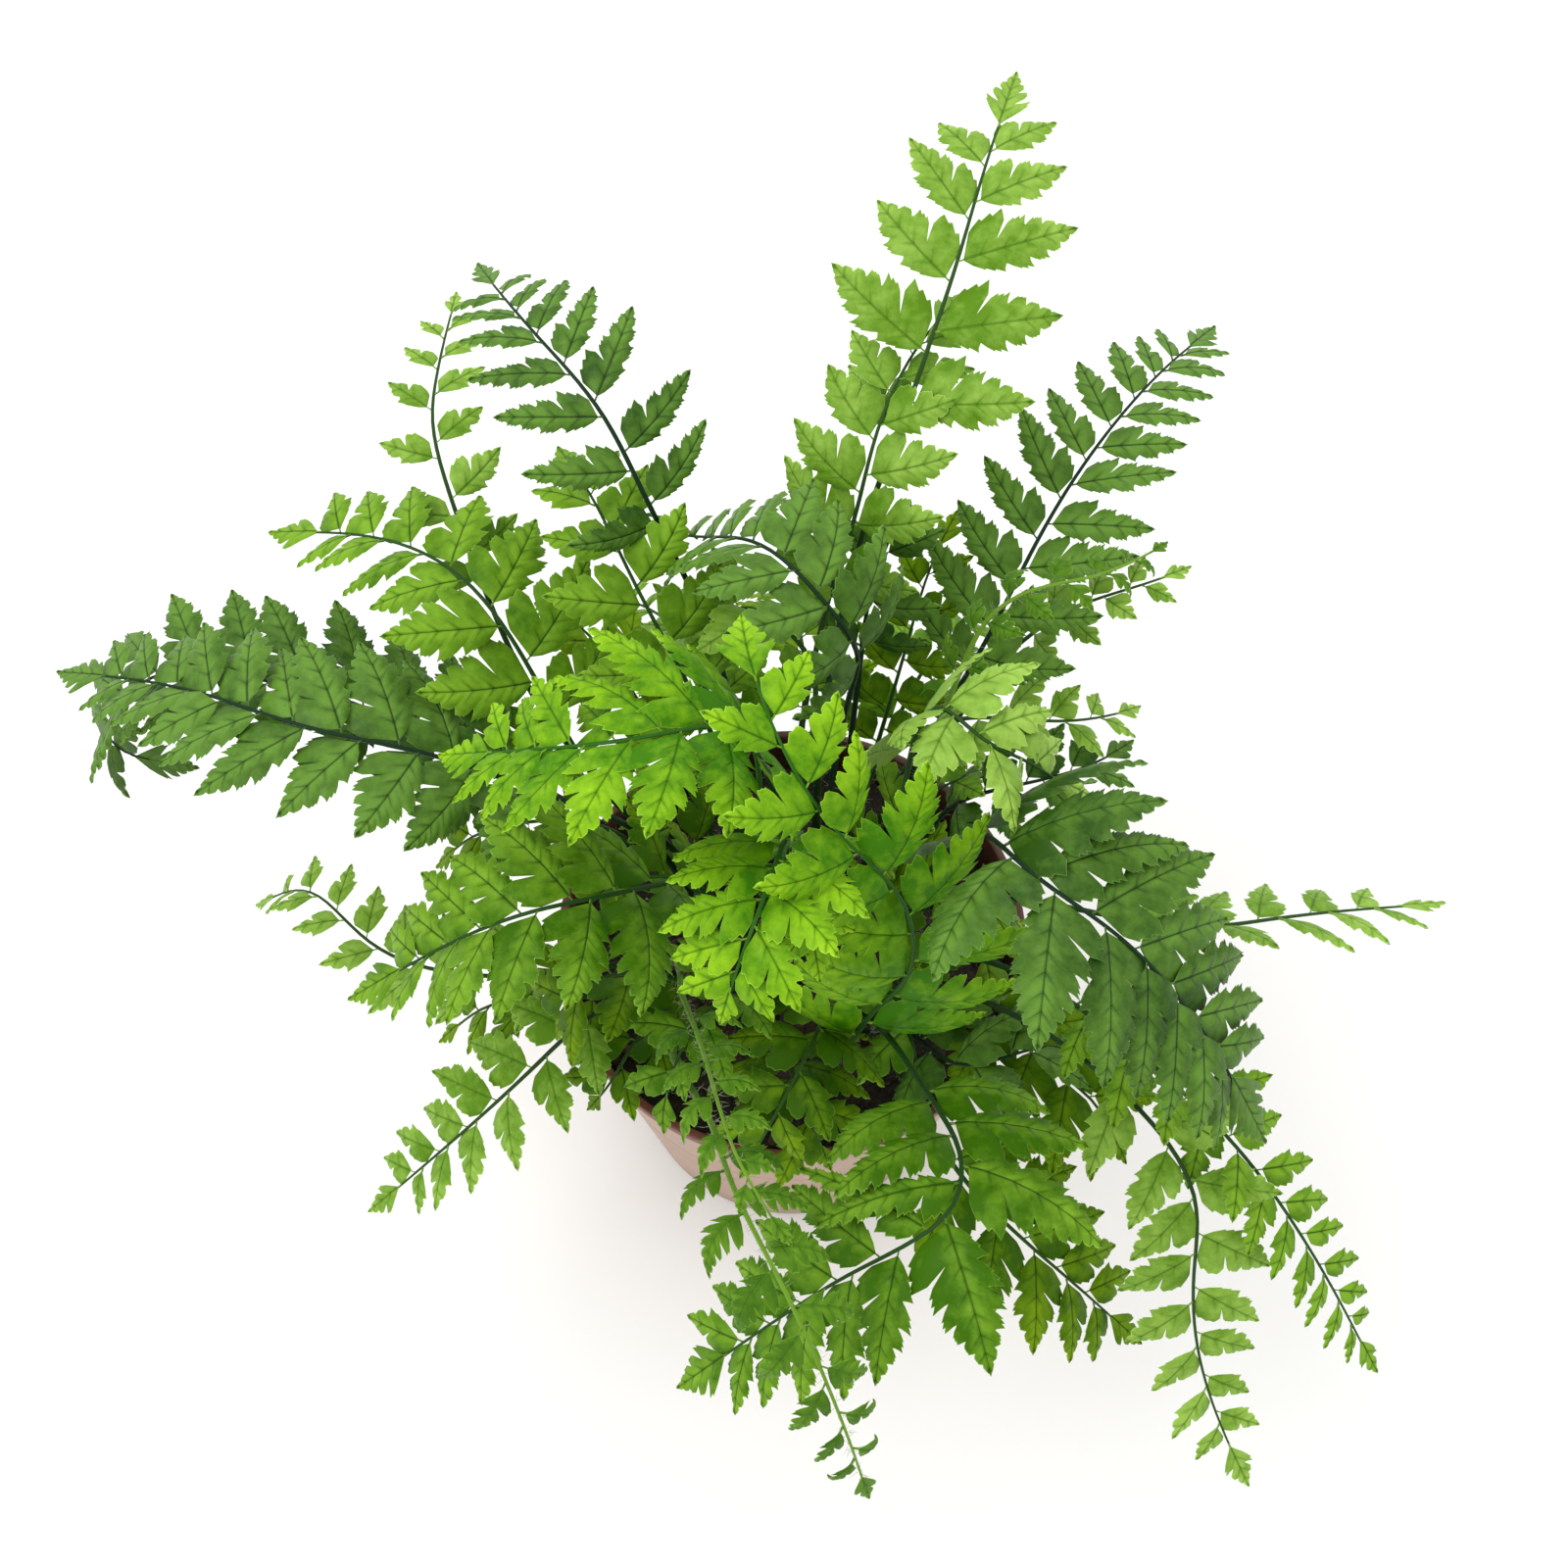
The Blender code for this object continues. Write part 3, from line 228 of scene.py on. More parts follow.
fronds = [Frond(*row) for row in (
    ("centre_arch", "bright", -0.1, 31, 15.5, 50, (4, -30), [(7, -39, 110), (17, -44, 150),
      (24, -46, 180), (21, -43, 206), (10, -42, 228), (-1, -35, 246), (-8, -18, 252),
      (-10, -4, 247)], (85, 0)),
    ("left_bright", "bright", -0.18, 30, 9.5, 118, (-6, -4), [(-7, -16, 205), (-12, -18, 230),
      (-28, -25, 238), (-50, -23, 230), (-71, -14, 212)]),
    ("front_bright", "bright", -0.04, 23, 8, 124, (-8, -14), [(-2, -33, 212), (-5, -48, 222),
      (-8, -57, 222), (-11, -63, 216), (-14, -68, 204)]),
    ("right_big", "dark", 0.06, 36, 10.4, 104, (22, -4), [(31, -21, 180), (38, -32, 212),
      (45, -45, 221), (59, -55, 218), (72, -63, 207), (84, -71, 190), (95, -80, 170)]),
    ("right_arch_light", "light", 0.34, 22, 9, 114, (16, -2), [(23, -13, 200), (30, -12, 226),
      (36, -18, 226), (44, -19, 220), (59, -18, 200)]),
    ("crozier_front", "young", 0, 15, 12.5, 116, (-20, -20), [(-27, -39, 125), (-18, -72, 165),
      (-10, -100, 195), (-1, -119, 200), (7, -134, 188), (14, -146, 160)]),
    ("front_dark", "mid", -0.08, 31, 10.5, 92, (14, -24), [(20, -43, 140), (29, -75, 176),
      (32, -92, 186), (30, -98, 187), (22, -104, 184), (11, -108, 177), (-2, -113, 165),
      (-24, -121, 136)]),
    ("left_long", "dark", 0.42, 28, 11, 100, (-22, 0), [(-36, 2, 150), (-53, -4, 178),
      (-77, -6, 200), (-98, -4, 206), (-122, 6, 203), (-164, 24, 184)]),
    ("left_up_mid", "mid", 0.34, 27, 12, 96, (-16, 6), [(-39, 7, 150), (-55, 14, 196),
      (-67, 28, 209), (-89, 45, 205), (-120, 58, 190)]),
    ("left_up_dark", "dark", 0.04, 24, 11, 130, (-10, 14), [(-19, 32, 190), (-32, 42, 228),
      (-39, 51, 239), (-51, 66, 243), (-70, 102, 230)]),
    ("back_inner", "light", -0.2, 23, 11, 110, (-2, 10), [(9, 36, 200), (13, 41, 217),
      (18, 52, 234), (27, 69, 242), (37, 84, 240)]),
    ("back_tall", "light", -0.12, 28, 13.5, 146, (6, 16), [(13, 39, 205), (24, 56, 240),
      (31, 70, 254), (38, 91, 264), (47, 121, 266)]),
    ("crozier_right", "young", 0, 10, 10, 108, (24, 4), [(33, 11, 190), (36, 13, 206),
      (40, 17, 215), (49, 19, 223), (58, 20, 225), (78, 33, 220)]),
    ("back_right", "dark", 0.45, 25, 10, 88, (20, 14), [(36, 27, 165), (44, 32, 188), (54, 46, 205),
      (63, 59, 212), (77, 77, 216), (99, 106, 206)]),
    ("left_broad", "mid", 0.1, 29, 10, 90, (-18, -10), [(-23, -21, 170), (-38, -36, 194),
      (-52, -42, 199), (-68, -44, 190), (-94, -48, 168)]),
    ("left_curl", "dark", 0.1, 29, 12, 82, (-24, 6), [(-50, 15, 135), (-88, 18, 172),
      (-102, 20, 180), (-122, 23, 184), (-143, 26, 180), (-154, 23, 172), (-159, 21, 160),
      (-144, 25, 140)]),
    ("left_up_light", "light", 0, 16, 11, 118, (-18, 12), [(-50, 26, 140), (-66, 37, 180),
      (-76, 57, 206), (-80, 72, 213), (-80, 84, 214), (-79, 115, 208)]),
    ("left_inner_up", "mid", 0.16, 24, 12, 92, (-12, 8), [(-19, 13, 180), (-27, 18, 205),
      (-34, 28, 215), (-41, 42, 219), (-52, 65, 212)]),
    ("centre_back_dark", "dark", 0.34, 24, 9.5, 116, (6, 6), [(13, 17, 190), (7, 11, 228),
      (-2, 19, 233), (-18, 36, 218), (-32, 50, 202)]),
    ("centre_back_side", "light", 0, 22, 12, 104, (-4, 4), [(5, 18, 180), (-2, 22, 205),
      (-10, 25, 208), (-17, 26, 203), (-34, 34, 188)]),
    ("front_bright_side", "bright", -0.08, 19, 8, 102, (2, -12), [(-1, -22, 195), (-2, -30, 205),
      (-1, -39, 210), (2, -47, 208), (5, -56, 196)]),
    ("crozier_front_small", "young", 0, 12, 13, 92, (-24, -12), [(-27, -26, 140), (-19, -62, 180),
      (-13, -87, 202), (-10, -96, 207), (-1, -109, 200)]),
    ("front_right_low", "light", 0.02, 22, 12, 92, (22, -18), [(43, -36, 140), (69, -63, 156),
      (86, -83, 142), (87, -95, 129), (89, -107, 115), (104, -132, 84)]),
    ("right_low_outer", "mid", 0.27, 19, 9.5, 82, (26, -12), [(53, -35, 150), (77, -59, 158),
      (96, -75, 148), (108, -87, 137), (131, -111, 104)]),
    ("front_olive", "olive", 0, 26, 11, 58, (18, -26), [(28, -52, 120), (38, -72, 124),
      (51, -84, 118), (65, -93, 108), (81, -102, 92)]),
    ("left_front_low", "light", -0.08, 21, 10.5, 60, (-22, -18), [(-30, -27, 130), (-47, -39, 136),
      (-58, -48, 132), (-84, -64, 112), (-101, -72, 96)]),
    ("left_low_far", "light", 0.03, 17, 11, 58, (-24, -8), [(-44, -21, 125), (-76, -27, 134),
      (-99, -19, 134), (-113, -6, 132), (-134, 1, 112)]),
    ("right_far_narrow", "light", 0, 20, 12, 86, (28, 2), [(65, -18, 150), (89, -28, 162),
      (106, -26, 162), (147, -19, 155)], (35, 35)),
    ("right_far_light", "light", 0.05, 14, 9.5, 82, (26, 10), [(44, 36, 160), (52, 37, 176),
      (64, 38, 190), (76, 39, 196), (89, 45, 195)]),
    ("centre_back_right", "olive", 0.12, 18, 11, 52, (12, 12), [(21, 32, 140), (24, 34, 162),
      (27, 39, 178), (31, 48, 190), (38, 62, 194)]),
    ("back_mid_dark", "dark", 0, 20, 11, 84, (12, 18), [(16, 37, 175), (18, 38, 200), (22, 46, 208),
      (26, 55, 206)]),
    ("right_back_low", "dark", 0, 20, 11, 52, (30, -4), [(36, 12, 140), (52, 10, 158),
      (66, 12, 162), (80, 22, 158)]),
    ("right_back_light", "light", 0, 16, 11, 60, (22, 20), [(32, 32, 140), (46, 24, 165),
      (60, 20, 170), (82, 30, 160)]),
    ("right_under", "olive", 0, 26, 11, 44, (24, -22), [(38, -24, 120), (56, -45, 134),
      (67, -56, 132), (76, -68, 120)]),
    ("front_dark_low", "dark", 0, 25, 12, 40, (10, -32), [(28, -39, 125), (38, -51, 138),
      (51, -49, 140), (65, -44, 130)]),
    ("front_left_mid", "olive", 0.05, 23, 12, 54, (-14, -24), [(-24, -31, 140), (-36, -36, 156),
      (-45, -39, 156), (-53, -45, 138)]),
    ("left_back_olive", "olive", 0, 22, 12, 50, (-26, 0), [(-40, 8, 135), (-56, 4, 152),
      (-72, 2, 150), (-85, 0, 135)]),
    ("left_side_low", "olive", 0, 19, 11, 42, (-28, -12), [(-40, -25, 120), (-55, -30, 127),
      (-71, -29, 121), (-86, -33, 106)]),
    ("left_mid_olive", "olive", 0.12, 21, 12, 56, (-18, 18), [(-26, 26, 130), (-39, 36, 160),
      (-50, 46, 170), (-62, 56, 165)]),
    ("soil_left", "olive", -0.2, 20, 10, 20, (-16, -28), [(-28, -31, 112), (-36, -37, 121),
      (-41, -45, 119), (-49, -50, 106)]),
    ("soil_front", "olive", -0.24, 25, 10, 18, (-4, -30), [(-2, -36, 110), (0, -48, 123),
      (4, -58, 122), (9, -67, 112)]),
    ("centre_low_left", "olive", -0.14, 23, 12, 34, (-12, -6), [(-20, -6, 128), (-32, -8, 147),
      (-44, -13, 148), (-52, -20, 140)]),
    ("centre_low_right", "olive", -0.14, 23, 12, 34, (12, -12), [(22, -10, 125), (34, -11, 143),
      (46, -12, 142), (55, -15, 130)]),
    ("centre_low_front", "olive", -0.2, 22, 12, 40, (8, -20), [(8, -32, 130), (4, -48, 142),
      (-4, -62, 136), (-12, -72, 122)]),
    ("centre_low_back", "mid", 0, 23, 13, 50, (-2, 18), [(-8, 28, 140), (-20, 38, 154),
      (-32, 52, 150), (-38, 66, 138)]),
    ("centre_low_far", "olive", 0, 22, 12, 26, (-18, 4), [(-20, 8, 108), (-24, 12, 122),
      (-33, 15, 130), (-43, 13, 127)]),
    ("inner_right", "mid", 0, 22, 12, 26, (20, -14), [(22, -20, 110), (25, -29, 124),
      (28, -41, 131), (30, -53, 127)]),
    ("soil_right", "olive", 0, 20, 11, 22, (26, -4), [(30, -7, 108), (37, -12, 118), (47, -17, 122),
      (57, -22, 118)]),
    ("inner_back_right", "mid", 0, 22, 12.5, 26, (16, 6), [(19, 9, 112), (25, 13, 131),
      (33, 16, 143), (44, 18, 148), (55, 16, 144)]),
    ("inner_front", "mid", -0.14, 20, 12, 44, (-4, -20), [(-10, -30, 135), (-18, -42, 150),
      (-24, -54, 148), (-28, -66, 136)]),
    ("back_low_left", "mid", 0.15, 21, 13, 46, (-10, 22), [(-14, 36, 125), (-24, 58, 140),
      (-38, 78, 132), (-50, 94, 112)]),
    ("back_low_mid", "olive", 0.18, 21, 13, 44, (0, 24), [(2, 38, 120), (3, 60, 136), (0, 80, 130),
      (-4, 98, 110)]),
    ("back_low_right", "mid", 0.15, 21, 13, 46, (14, 24), [(22, 36, 125), (34, 56, 138),
      (46, 74, 130), (60, 92, 110)]),
)]

stemSizes = {
    "foot": 83.0,         # height of the stalks' lower ends
    "free": 95.0,         # height at which they start to lean
    "footRadius": 1.3,
    "ribRadius": 0.9,
    "tipRadius": 0.55,
    "footSpacing": 5.4,
    "rimMargin": 3.5,     # from the feet to the rhizome's edge
    "step": 2.0,
    "clearance": 4.2,     # between two stalks, found to within the slack
    "slack": 0.15,
    "footRounds": 400,    # times that the feet are pushed apart, and the stalks
    "pushRounds": 120,
    "fixedPoints": 7,
    "spread": 9,          # points to either side that give way with a pushed one
    "broadest": 0.45,     # share of the blade at which it is level
    "headingSpan": 12,    # points to either side that give the direction there
    "levelling": 0.10,
    "edgeUp": 0.55,       # where leaflets are rooted, in shares of the stalk's radius
    "edgeOut": 0.9,
    "tipOfLeaf": 0.6,     # an end leaflet's share of the longest leaflet, or of the blade if less
    "tipOfBlade": 0.2,
    "pairClosing": 0.22,
    "seed": 7,
}

rhizomeSizes = {
    "centre": (1, -6),
    "radius": 33,
    "bottom": 76,
    "shoulder": 88,
    "dome": 5.2,
    "lumps": 1.1,
    "lumpScale": 0.2,
    "rings": 22,
    "sides": 72,
    "stubs": 26,
    "stubHeights": (3, 9),
    "stubRadii": (1.3, 1.1, 1.0, 0.7),
    "scales": 420,
    "scaleLengths": (2, 4.5),
    "scaleWidths": (0.5, 0.9),
    "seed": 23,
}

# The rule that places the leaflets, as in the solids. Each angle has its spread, and the tries are
# made in turn until a leaflet or an end leaflet is found on the frame's node.
leafRule = {
    "offsets": ((-1, 0.02), (1, 0.36)),    # side, and share of the way to the next pair
    "slips": (-0.02, 0.04),
    "lengths": (0.92, 1.06),
    "tipLoss": 0.62,
    "angle": 70,
    "angleLoss": 24,
    "angles": (-5, 5),
    "rise": 14,
    "rises": (-6, 8),
    "droop": 26,
    "droops": (-8, 14),
    "twists": (-6, 6),
    "falcate": 0.06,
    "keel": 0.18,
    "widthShare": 0.30,
    "widthMore": 2.4,
    "pitchShare": 1.15,
    "longFrom": 9,
    "windows": (1.2, 1.7),                 # length on the stalk, if short and if long
    "near": 0.03,                          # as far as a point may be from the node
    "trySizes": (1.0, 0.85, 0.68, 0.5),
    "tryBends": (0, 10, -10, 20, -20, 32, -32, 46, -46),
    "tryTwists": (0, 14, -14),
    "tryWidthMore": 1.8,
    "tipKeel": 0.12,
    "tipWidthShare": 0.40,
    "tipWidthMore": 1.2,
    "longTipFrom": 12,
    "tipSizes": (1.0, 0.75, 0.5, 0.35),
    "tipLifts": (0, 12, -12, 24, -24, 38, -38),
}

# Leaflet outlines of the solids, by which each leaflet's settled place is read from the frame.
outlines = {
    "long": [(0.18, 0.66), (0.30, 0.32), (0.56, 0.50), (0.62, 0.27), (1.00, 0.00), (0.60, -0.44),
             (0.50, -0.30), (0.34, -0.50), (0.12, -0.44)],
    "medium": [(0.20, 0.66), (0.34, 0.33), (0.62, 0.46), (1.00, 0.00), (0.54, -0.45),
               (0.16, -0.46)],
    "short": [(0.24, 0.62), (0.42, 0.36), (1.00, 0.02), (0.54, -0.44), (0.16, -0.42)],
    "small": [(0.34, 0.54), (1.00, 0.04), (0.36, -0.48)],
    "tip": [(0.14, 0.50), (0.30, 0.32), (0.50, 0.36), (1.00, 0.00), (0.50, -0.36),
            (0.30, -0.32), (0.14, -0.50)],
    "smallTip": [(0.30, 0.44), (1.00, 0.00), (0.30, -0.44)],
}


def spacedFeet():  # neighbours pushed apart, and all kept on the rhizome
    feet = np.array([frond.foot for frond in fronds], float)
    centre = np.array(rhizomeSizes["centre"], float)
    reach = rhizomeSizes["radius"] - stemSizes["rimMargin"]
    spacing = stemSizes["footSpacing"]
    for _ in range(stemSizes["footRounds"]):
        for i in range(len(feet)):
            for j in range(i):
                apart = feet[i] - feet[j]
                far = np.linalg.norm(apart)
                if far < spacing:
                    shift = apart / max(far, 1e-6) * (spacing - far) / 2
                    feet[i] += shift
                    feet[j] -= shift
        for i in range(len(feet)):
            out = feet[i] - centre
            far = np.linalg.norm(out)
            if far > reach:
                feet[i] = centre + out / far * reach
    return feet


def distances(curve):
    return np.concatenate([[0], np.cumsum(np.linalg.norm(np.diff(curve, axis=0), axis=1))])


def spline(points, startSlope):
    pts = np.array(points, float)
    knots = distances(pts)
    h = np.diff(knots)
    count = len(pts)
    left = np.zeros((count, count))
    right = np.zeros((count, 3))
    slope = np.diff(pts, axis=0) / h[:, None]
    left[0, 0], left[0, 1], left[-1, -1] = 2 * h[0], h[0], 1
    right[0] = 6 * (slope[0] - np.array(startSlope, float))
    for i in range(1, count - 1):
        left[i, i - 1], left[i, i], left[i, i + 1] = h[i - 1], 2 * (h[i - 1] + h[i]), h[i]
        right[i] = 6 * (slope[i] - slope[i - 1])
    bend = np.linalg.solve(left, right)
    where = np.linspace(0, knots[-1], int(knots[-1] / stemSizes["step"]) + 1)
    span = np.clip(np.searchsorted(knots, where, side="right") - 1, 0, count - 2)
    a = (knots[span + 1] - where) / h[span]
    b = (where - knots[span]) / h[span]
    bent = (a ** 3 - a)[:, None] * bend[span] + (b ** 3 - b)[:, None] * bend[span + 1]
    return a[:, None] * pts[span] + b[:, None] * pts[span + 1] + bent * (h[span] ** 2)[:, None] / 6


def resampled(curve):
    far = distances(curve)
    where = np.linspace(0, far[-1], int(round(far[-1] / stemSizes["step"])) + 1)
    return np.stack([np.interp(where, far, curve[:, k]) for k in range(3)], axis=1)


def treeOf(places):
    tree = KDTree(len(places))
    for index, place in enumerate(places):
        tree.insert(place, index)
    tree.balance()
    return tree


def pushes(curves):  # how far each point is pushed from the nearest foreign one
    clearance, fixed = stemSizes["clearance"], stemSizes["fixedPoints"]
    owner = [(i, j) for i, curve in enumerate(curves) for j in range(len(curve))]
    tree = treeOf([curves[i][j] for i, j in owner])
    moves = [np.zeros_like(curve) for curve in curves]
    close = False
    for i, curve in enumerate(curves):
        for j in range(fixed, len(curve)):
            for found, index, far in tree.find_range(curve[j], clearance):
                other, place = owner[index]
                if other == i or place < fixed:
                    continue
                close = close or far < clearance - stemSizes["slack"]
                away = unit(curve[j] - np.array(found) + 1e-4)
                push = away * (clearance - far) / 2
                if np.dot(push, push) > np.dot(moves[i][j], moves[i][j]):
                    moves[i][j] = push
    return moves, close


def pushedApart(curves):
    curves = [curve.copy() for curve in curves]
    fixed, spread = stemSizes["fixedPoints"], stemSizes["spread"]
    weight = np.exp(-(np.arange(-spread, spread + 1) / (spread * 0.45)) ** 2)
    for _ in range(stemSizes["pushRounds"]):
        moves, close = pushes(curves)
        if not close:
            break
        for curve, move in zip(curves, moves):
            total = np.zeros_like(curve)
            norm = np.zeros(len(curve))
            for j in np.nonzero(np.abs(move).sum(axis=1))[0]:
                low, high = max(0, j - spread), min(len(curve), j + spread + 1)
                share = weight[low - j + spread:high - j + spread]
                total[low:high] += share[:, None] * move[j]
                norm[low:high] += share
            ease = np.clip((np.arange(len(curve)) - fixed) / 6, 0, 1)
            curve += total / np.maximum(norm, 1)[:, None] * ease[:, None]
    return curves


def carriedFrames(curve, bladeStart, roll):  # tangents and sides, level where the blade is broad
    tangent = np.gradient(curve, axis=0)
    tangent /= np.linalg.norm(tangent, axis=1)[:, None]
    count = len(curve)
    anchor = int(bladeStart + stemSizes["broadest"] * (count - bladeStart))
    reach = stemSizes["headingSpan"]
    heading = curve[min(anchor + reach, count - 1)] - curve[max(anchor - reach, 0)]
    level = np.cross(heading, (0, 0, 1))
    side = np.zeros_like(curve)
    side[anchor] = unit(level - np.dot(level, tangent[anchor]) * tangent[anchor])
    for order in (range(anchor + 1, count), range(anchor - 1, -1, -1)):
        for i in order:
            last = side[i - order.step]
            carried = unit(last - np.dot(last, tangent[i]) * tangent[i])
            flat = np.cross(tangent[i], (0, 0, 1))
            weight = stemSizes["levelling"] * np.linalg.norm(flat) ** 2
            sign = 1 if np.dot(flat, carried) > 0 else -1
            mixed = carried * (1 - weight) + sign * unit(flat) * weight
            side[i] = unit(mixed - np.dot(mixed, tangent[i]) * tangent[i])
    share = np.clip((np.arange(count) - bladeStart) / max(count - bladeStart, 1), 0, 1)
    turn = np.radians(roll[0] + (roll[1] - roll[0]) * share)[:, None]
    return tangent, np.cos(turn) * side + np.sin(turn) * np.cross(side, tangent)


class Stem:
    def __init__(self, frond, curve):
        self.frond = frond
        self.curve = curve
        self.far = distances(curve)
        self.length = self.far[-1]
        self.foot = stemSizes["free"] - stemSizes["foot"]
        self.blade = self.foot + frond.bare
        start = int(np.searchsorted(self.far, self.blade))
        self.tangent, self.side = carriedFrames(curve, start, frond.roll)
        self.tipLength = min(stemSizes["tipOfLeaf"] * frond.leaf,
                             stemSizes["tipOfBlade"] * (self.length - self.blade))
        self.last = self.length - self.tipLength
        self.pairs = max(2, int(round((self.last - self.blade) / frond.pitch)))

    def pairPlace(self, k):  # pairs stand closer towards the tip
        u = k / self.pairs
        closing = stemSizes["pairClosing"]
        share = u * (1 + closing) - closing * u * u
        return self.blade + (self.last - self.blade) * share

    def frames(self, s):  # centre, tangent, side and normal at each distance in s
        s = np.clip(np.asarray(s, float), 0, self.length)
        centre, tangent, side = [
            np.stack([np.interp(s, self.far, rows[:, k]) for k in range(3)], axis=-1)
            for rows in (self.curve, self.tangent, self.side)]
        tangent = units(tangent)
        side = units(side - (side * tangent).sum(axis=-1)[..., None] * tangent)
        return centre, tangent, side, np.cross(side, tangent)

    def radius(self, s):
        foot, rib, tip = stemSizes["footRadius"], stemSizes["ribRadius"], stemSizes["tipRadius"]
        return np.interp(s, [0, self.foot, self.blade, self.length], [foot, foot, rib, tip])

    def edge(self, s, side):  # the flat upper side's edge, where leaflets are rooted
        centre, _, across, normal = self.frames(s)
        r = self.radius(s)
        return (centre + normal * stemSizes["edgeUp"] * r
                + side * across * stemSizes["edgeOut"] * r)

    def outward(self, s, rng):  # a place in the stalk, its tangent and a random way out
        centre, tangent, side, normal = self.frames(s)
        a = rng.uniform(0, fullTurn)
        return centre, tangent, math.cos(a) * side + math.sin(a) * normal


Leaf = namedtuple("Leaf", "pair s side window length width angle rise droop twist")


def outlineFor(length):
    for least, kind in ((36, "long"), (23, "medium"), (17, "short")):
        if length > least:
            return outlines[kind]
    return outlines["small"]


def leafAxes(stem, leaf):
    root = (stem.edge(leaf.s - leaf.window / 2, leaf.side)
            + stem.edge(leaf.s + leaf.window / 2, leaf.side)) / 2
    _, tangent, side, _ = stem.frames(leaf.s)
    angle = math.radians(leaf.angle)
    along = unit(math.cos(angle) * tangent + math.sin(angle) * leaf.side * side)
    across = unit(tangent - np.dot(tangent, along) * along)
    upper = unit(np.cross(across, along) * -leaf.side)
    twist = math.radians(leaf.twist)
    turned = math.cos(twist) * across + math.sin(twist) * upper
    return root, along, turned, math.cos(twist) * upper - math.sin(twist) * across


# Points and facings on the arched leaflet: t along it, sideways in millimetres across it.
def leafSurface(stem, leaf, t, sideways, curl=0.0, shingle=0.0):
    root, along, across, upper = leafAxes(stem, leaf)
    rise, droop = math.radians(leaf.rise), math.radians(max(leaf.droop, 1))
    bend = rise - droop * t
    run = leaf.length / droop * (math.sin(rise) - np.sin(bend))
    lift = leaf.length / droop * (np.cos(bend) - math.cos(rise))
    facing = np.cos(bend)[:, None] * upper - np.sin(bend)[:, None] * along
    offset = sideways + leafRule["falcate"] * leaf.length * t * t
    point = root + run[:, None] * along + lift[:, None] * upper + offset[:, None] * across
    sunk = leafRule["keel"] * np.abs(sideways) + shingle * sideways + curl * leaf.length * t ** 3
    return point - sunk[:, None] * facing, facing


def wishedLeaves(stem, rng):
    rule = leafRule
    wishes = []
    for k in range(stem.pairs):
        q = k / stem.pairs
        for side, offset in rule["offsets"]:
            s = stem.pairPlace(k + offset + rng.uniform(*rule["slips"]))
            pitch = stem.pairPlace(k + 1) - stem.pairPlace(k)
            full = 0.9 + 0.1 * min(1, k / 1.5)
            taper = 1 - rule["tipLoss"] * q ** 1.8
            length = stem.frond.leaf * full * taper * rng.uniform(*rule["lengths"])
            angle = rule["angle"] - rule["angleLoss"] * q + rng.uniform(*rule["angles"])
            room = rule["pitchShare"] * pitch * math.sin(math.radians(angle))
            width = min(rule["widthShare"] * length + rule["widthMore"], room)
            window = rule["windows"][length > rule["longFrom"]]
            rise = rule["rise"] + rng.uniform(*rule["rises"])
            droop = rule["droop"] + rng.uniform(*rule["droops"])
            twist = rng.uniform(*rule["twists"])
            wishes.append(Leaf(k, s, side, window, length, width, angle, rise, droop, twist))
    return wishes


def onNode(tree, points):
    return all(tree.find(point * mm)[2] < leafRule["near"] * mm for point in points)


# The settled shape is the first one tried whose points are all on the frame's node.
def settledLeaf(stem, wish, tree):
    for size in leafRule["trySizes"]:
        length = wish.length * size
        width = min(wish.width, leafRule["widthShare"] * length + leafRule["tryWidthMore"])
        outline = np.array(outlineFor(length))
        for bend in leafRule["tryBends"]:
            for twist in leafRule["tryTwists"]:
                trial = wish._replace(length=length, width=width, rise=wish.rise + bend,
                                      twist=wish.twist + twist)
                points, _ = leafSurface(stem, trial, outline[:, 0], outline[:, 1] * width)
                if onNode(tree, points):
                    return trial
    return None


def tipSurface(stem, length, slope, t, sideways):
    centre, _, side, normal = stem.frames(stem.last + t * length)
    raised = stemSizes["edgeUp"] * stem.radius(stem.last) + slope * t * length
    raised = raised - leafRule["tipKeel"] * np.abs(sideways)
    return centre + normal * raised[:, None] + side * sideways[:, None], normal


def settledTip(stem, tree):
    for size in leafRule["tipSizes"]:
        for lift in leafRule["tipLifts"]:
            length = stem.tipLength * size
            outline = np.array(outlines["tip" if length > leafRule["longTipFrom"] else "smallTip"])
            slope = math.tan(math.radians(lift))
            width = leafRule["tipWidthShare"] * length + leafRule["tipWidthMore"]
            sideways = outline[:, 1] * width
            if onNode(tree, tipSurface(stem, length, slope, outline[:, 0], sideways)[0]):
                return length, slope
    return None


def plannedFronds():
    curves = []
    for frond, foot in zip(fronds, spacedFeet()):
        heights = np.arange(stemSizes["foot"], stemSizes["free"], stemSizes["step"])
        upright = [(*foot, z) for z in heights]
        free = spline([(*foot, stemSizes["free"])] + frond.route, (0, 0, 1))
        curves.append(resampled(np.concatenate([upright, free])))
    planned = []
    for index, (frond, curve) in enumerate(zip(fronds, pushedApart(curves))):
        stem = Stem(frond, curve)
        rng = random.Random(stemSizes["seed"] * 1000 + index)
        tree = treeOf([v.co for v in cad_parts["frond_" + frond.name].data.vertices])
        leaves = [settledLeaf(stem, wish, tree) for wish in wishedLeaves(stem, rng)]
        planned.append((stem, [leaf for leaf in leaves if leaf], settledTip(stem, tree)))
    return planned


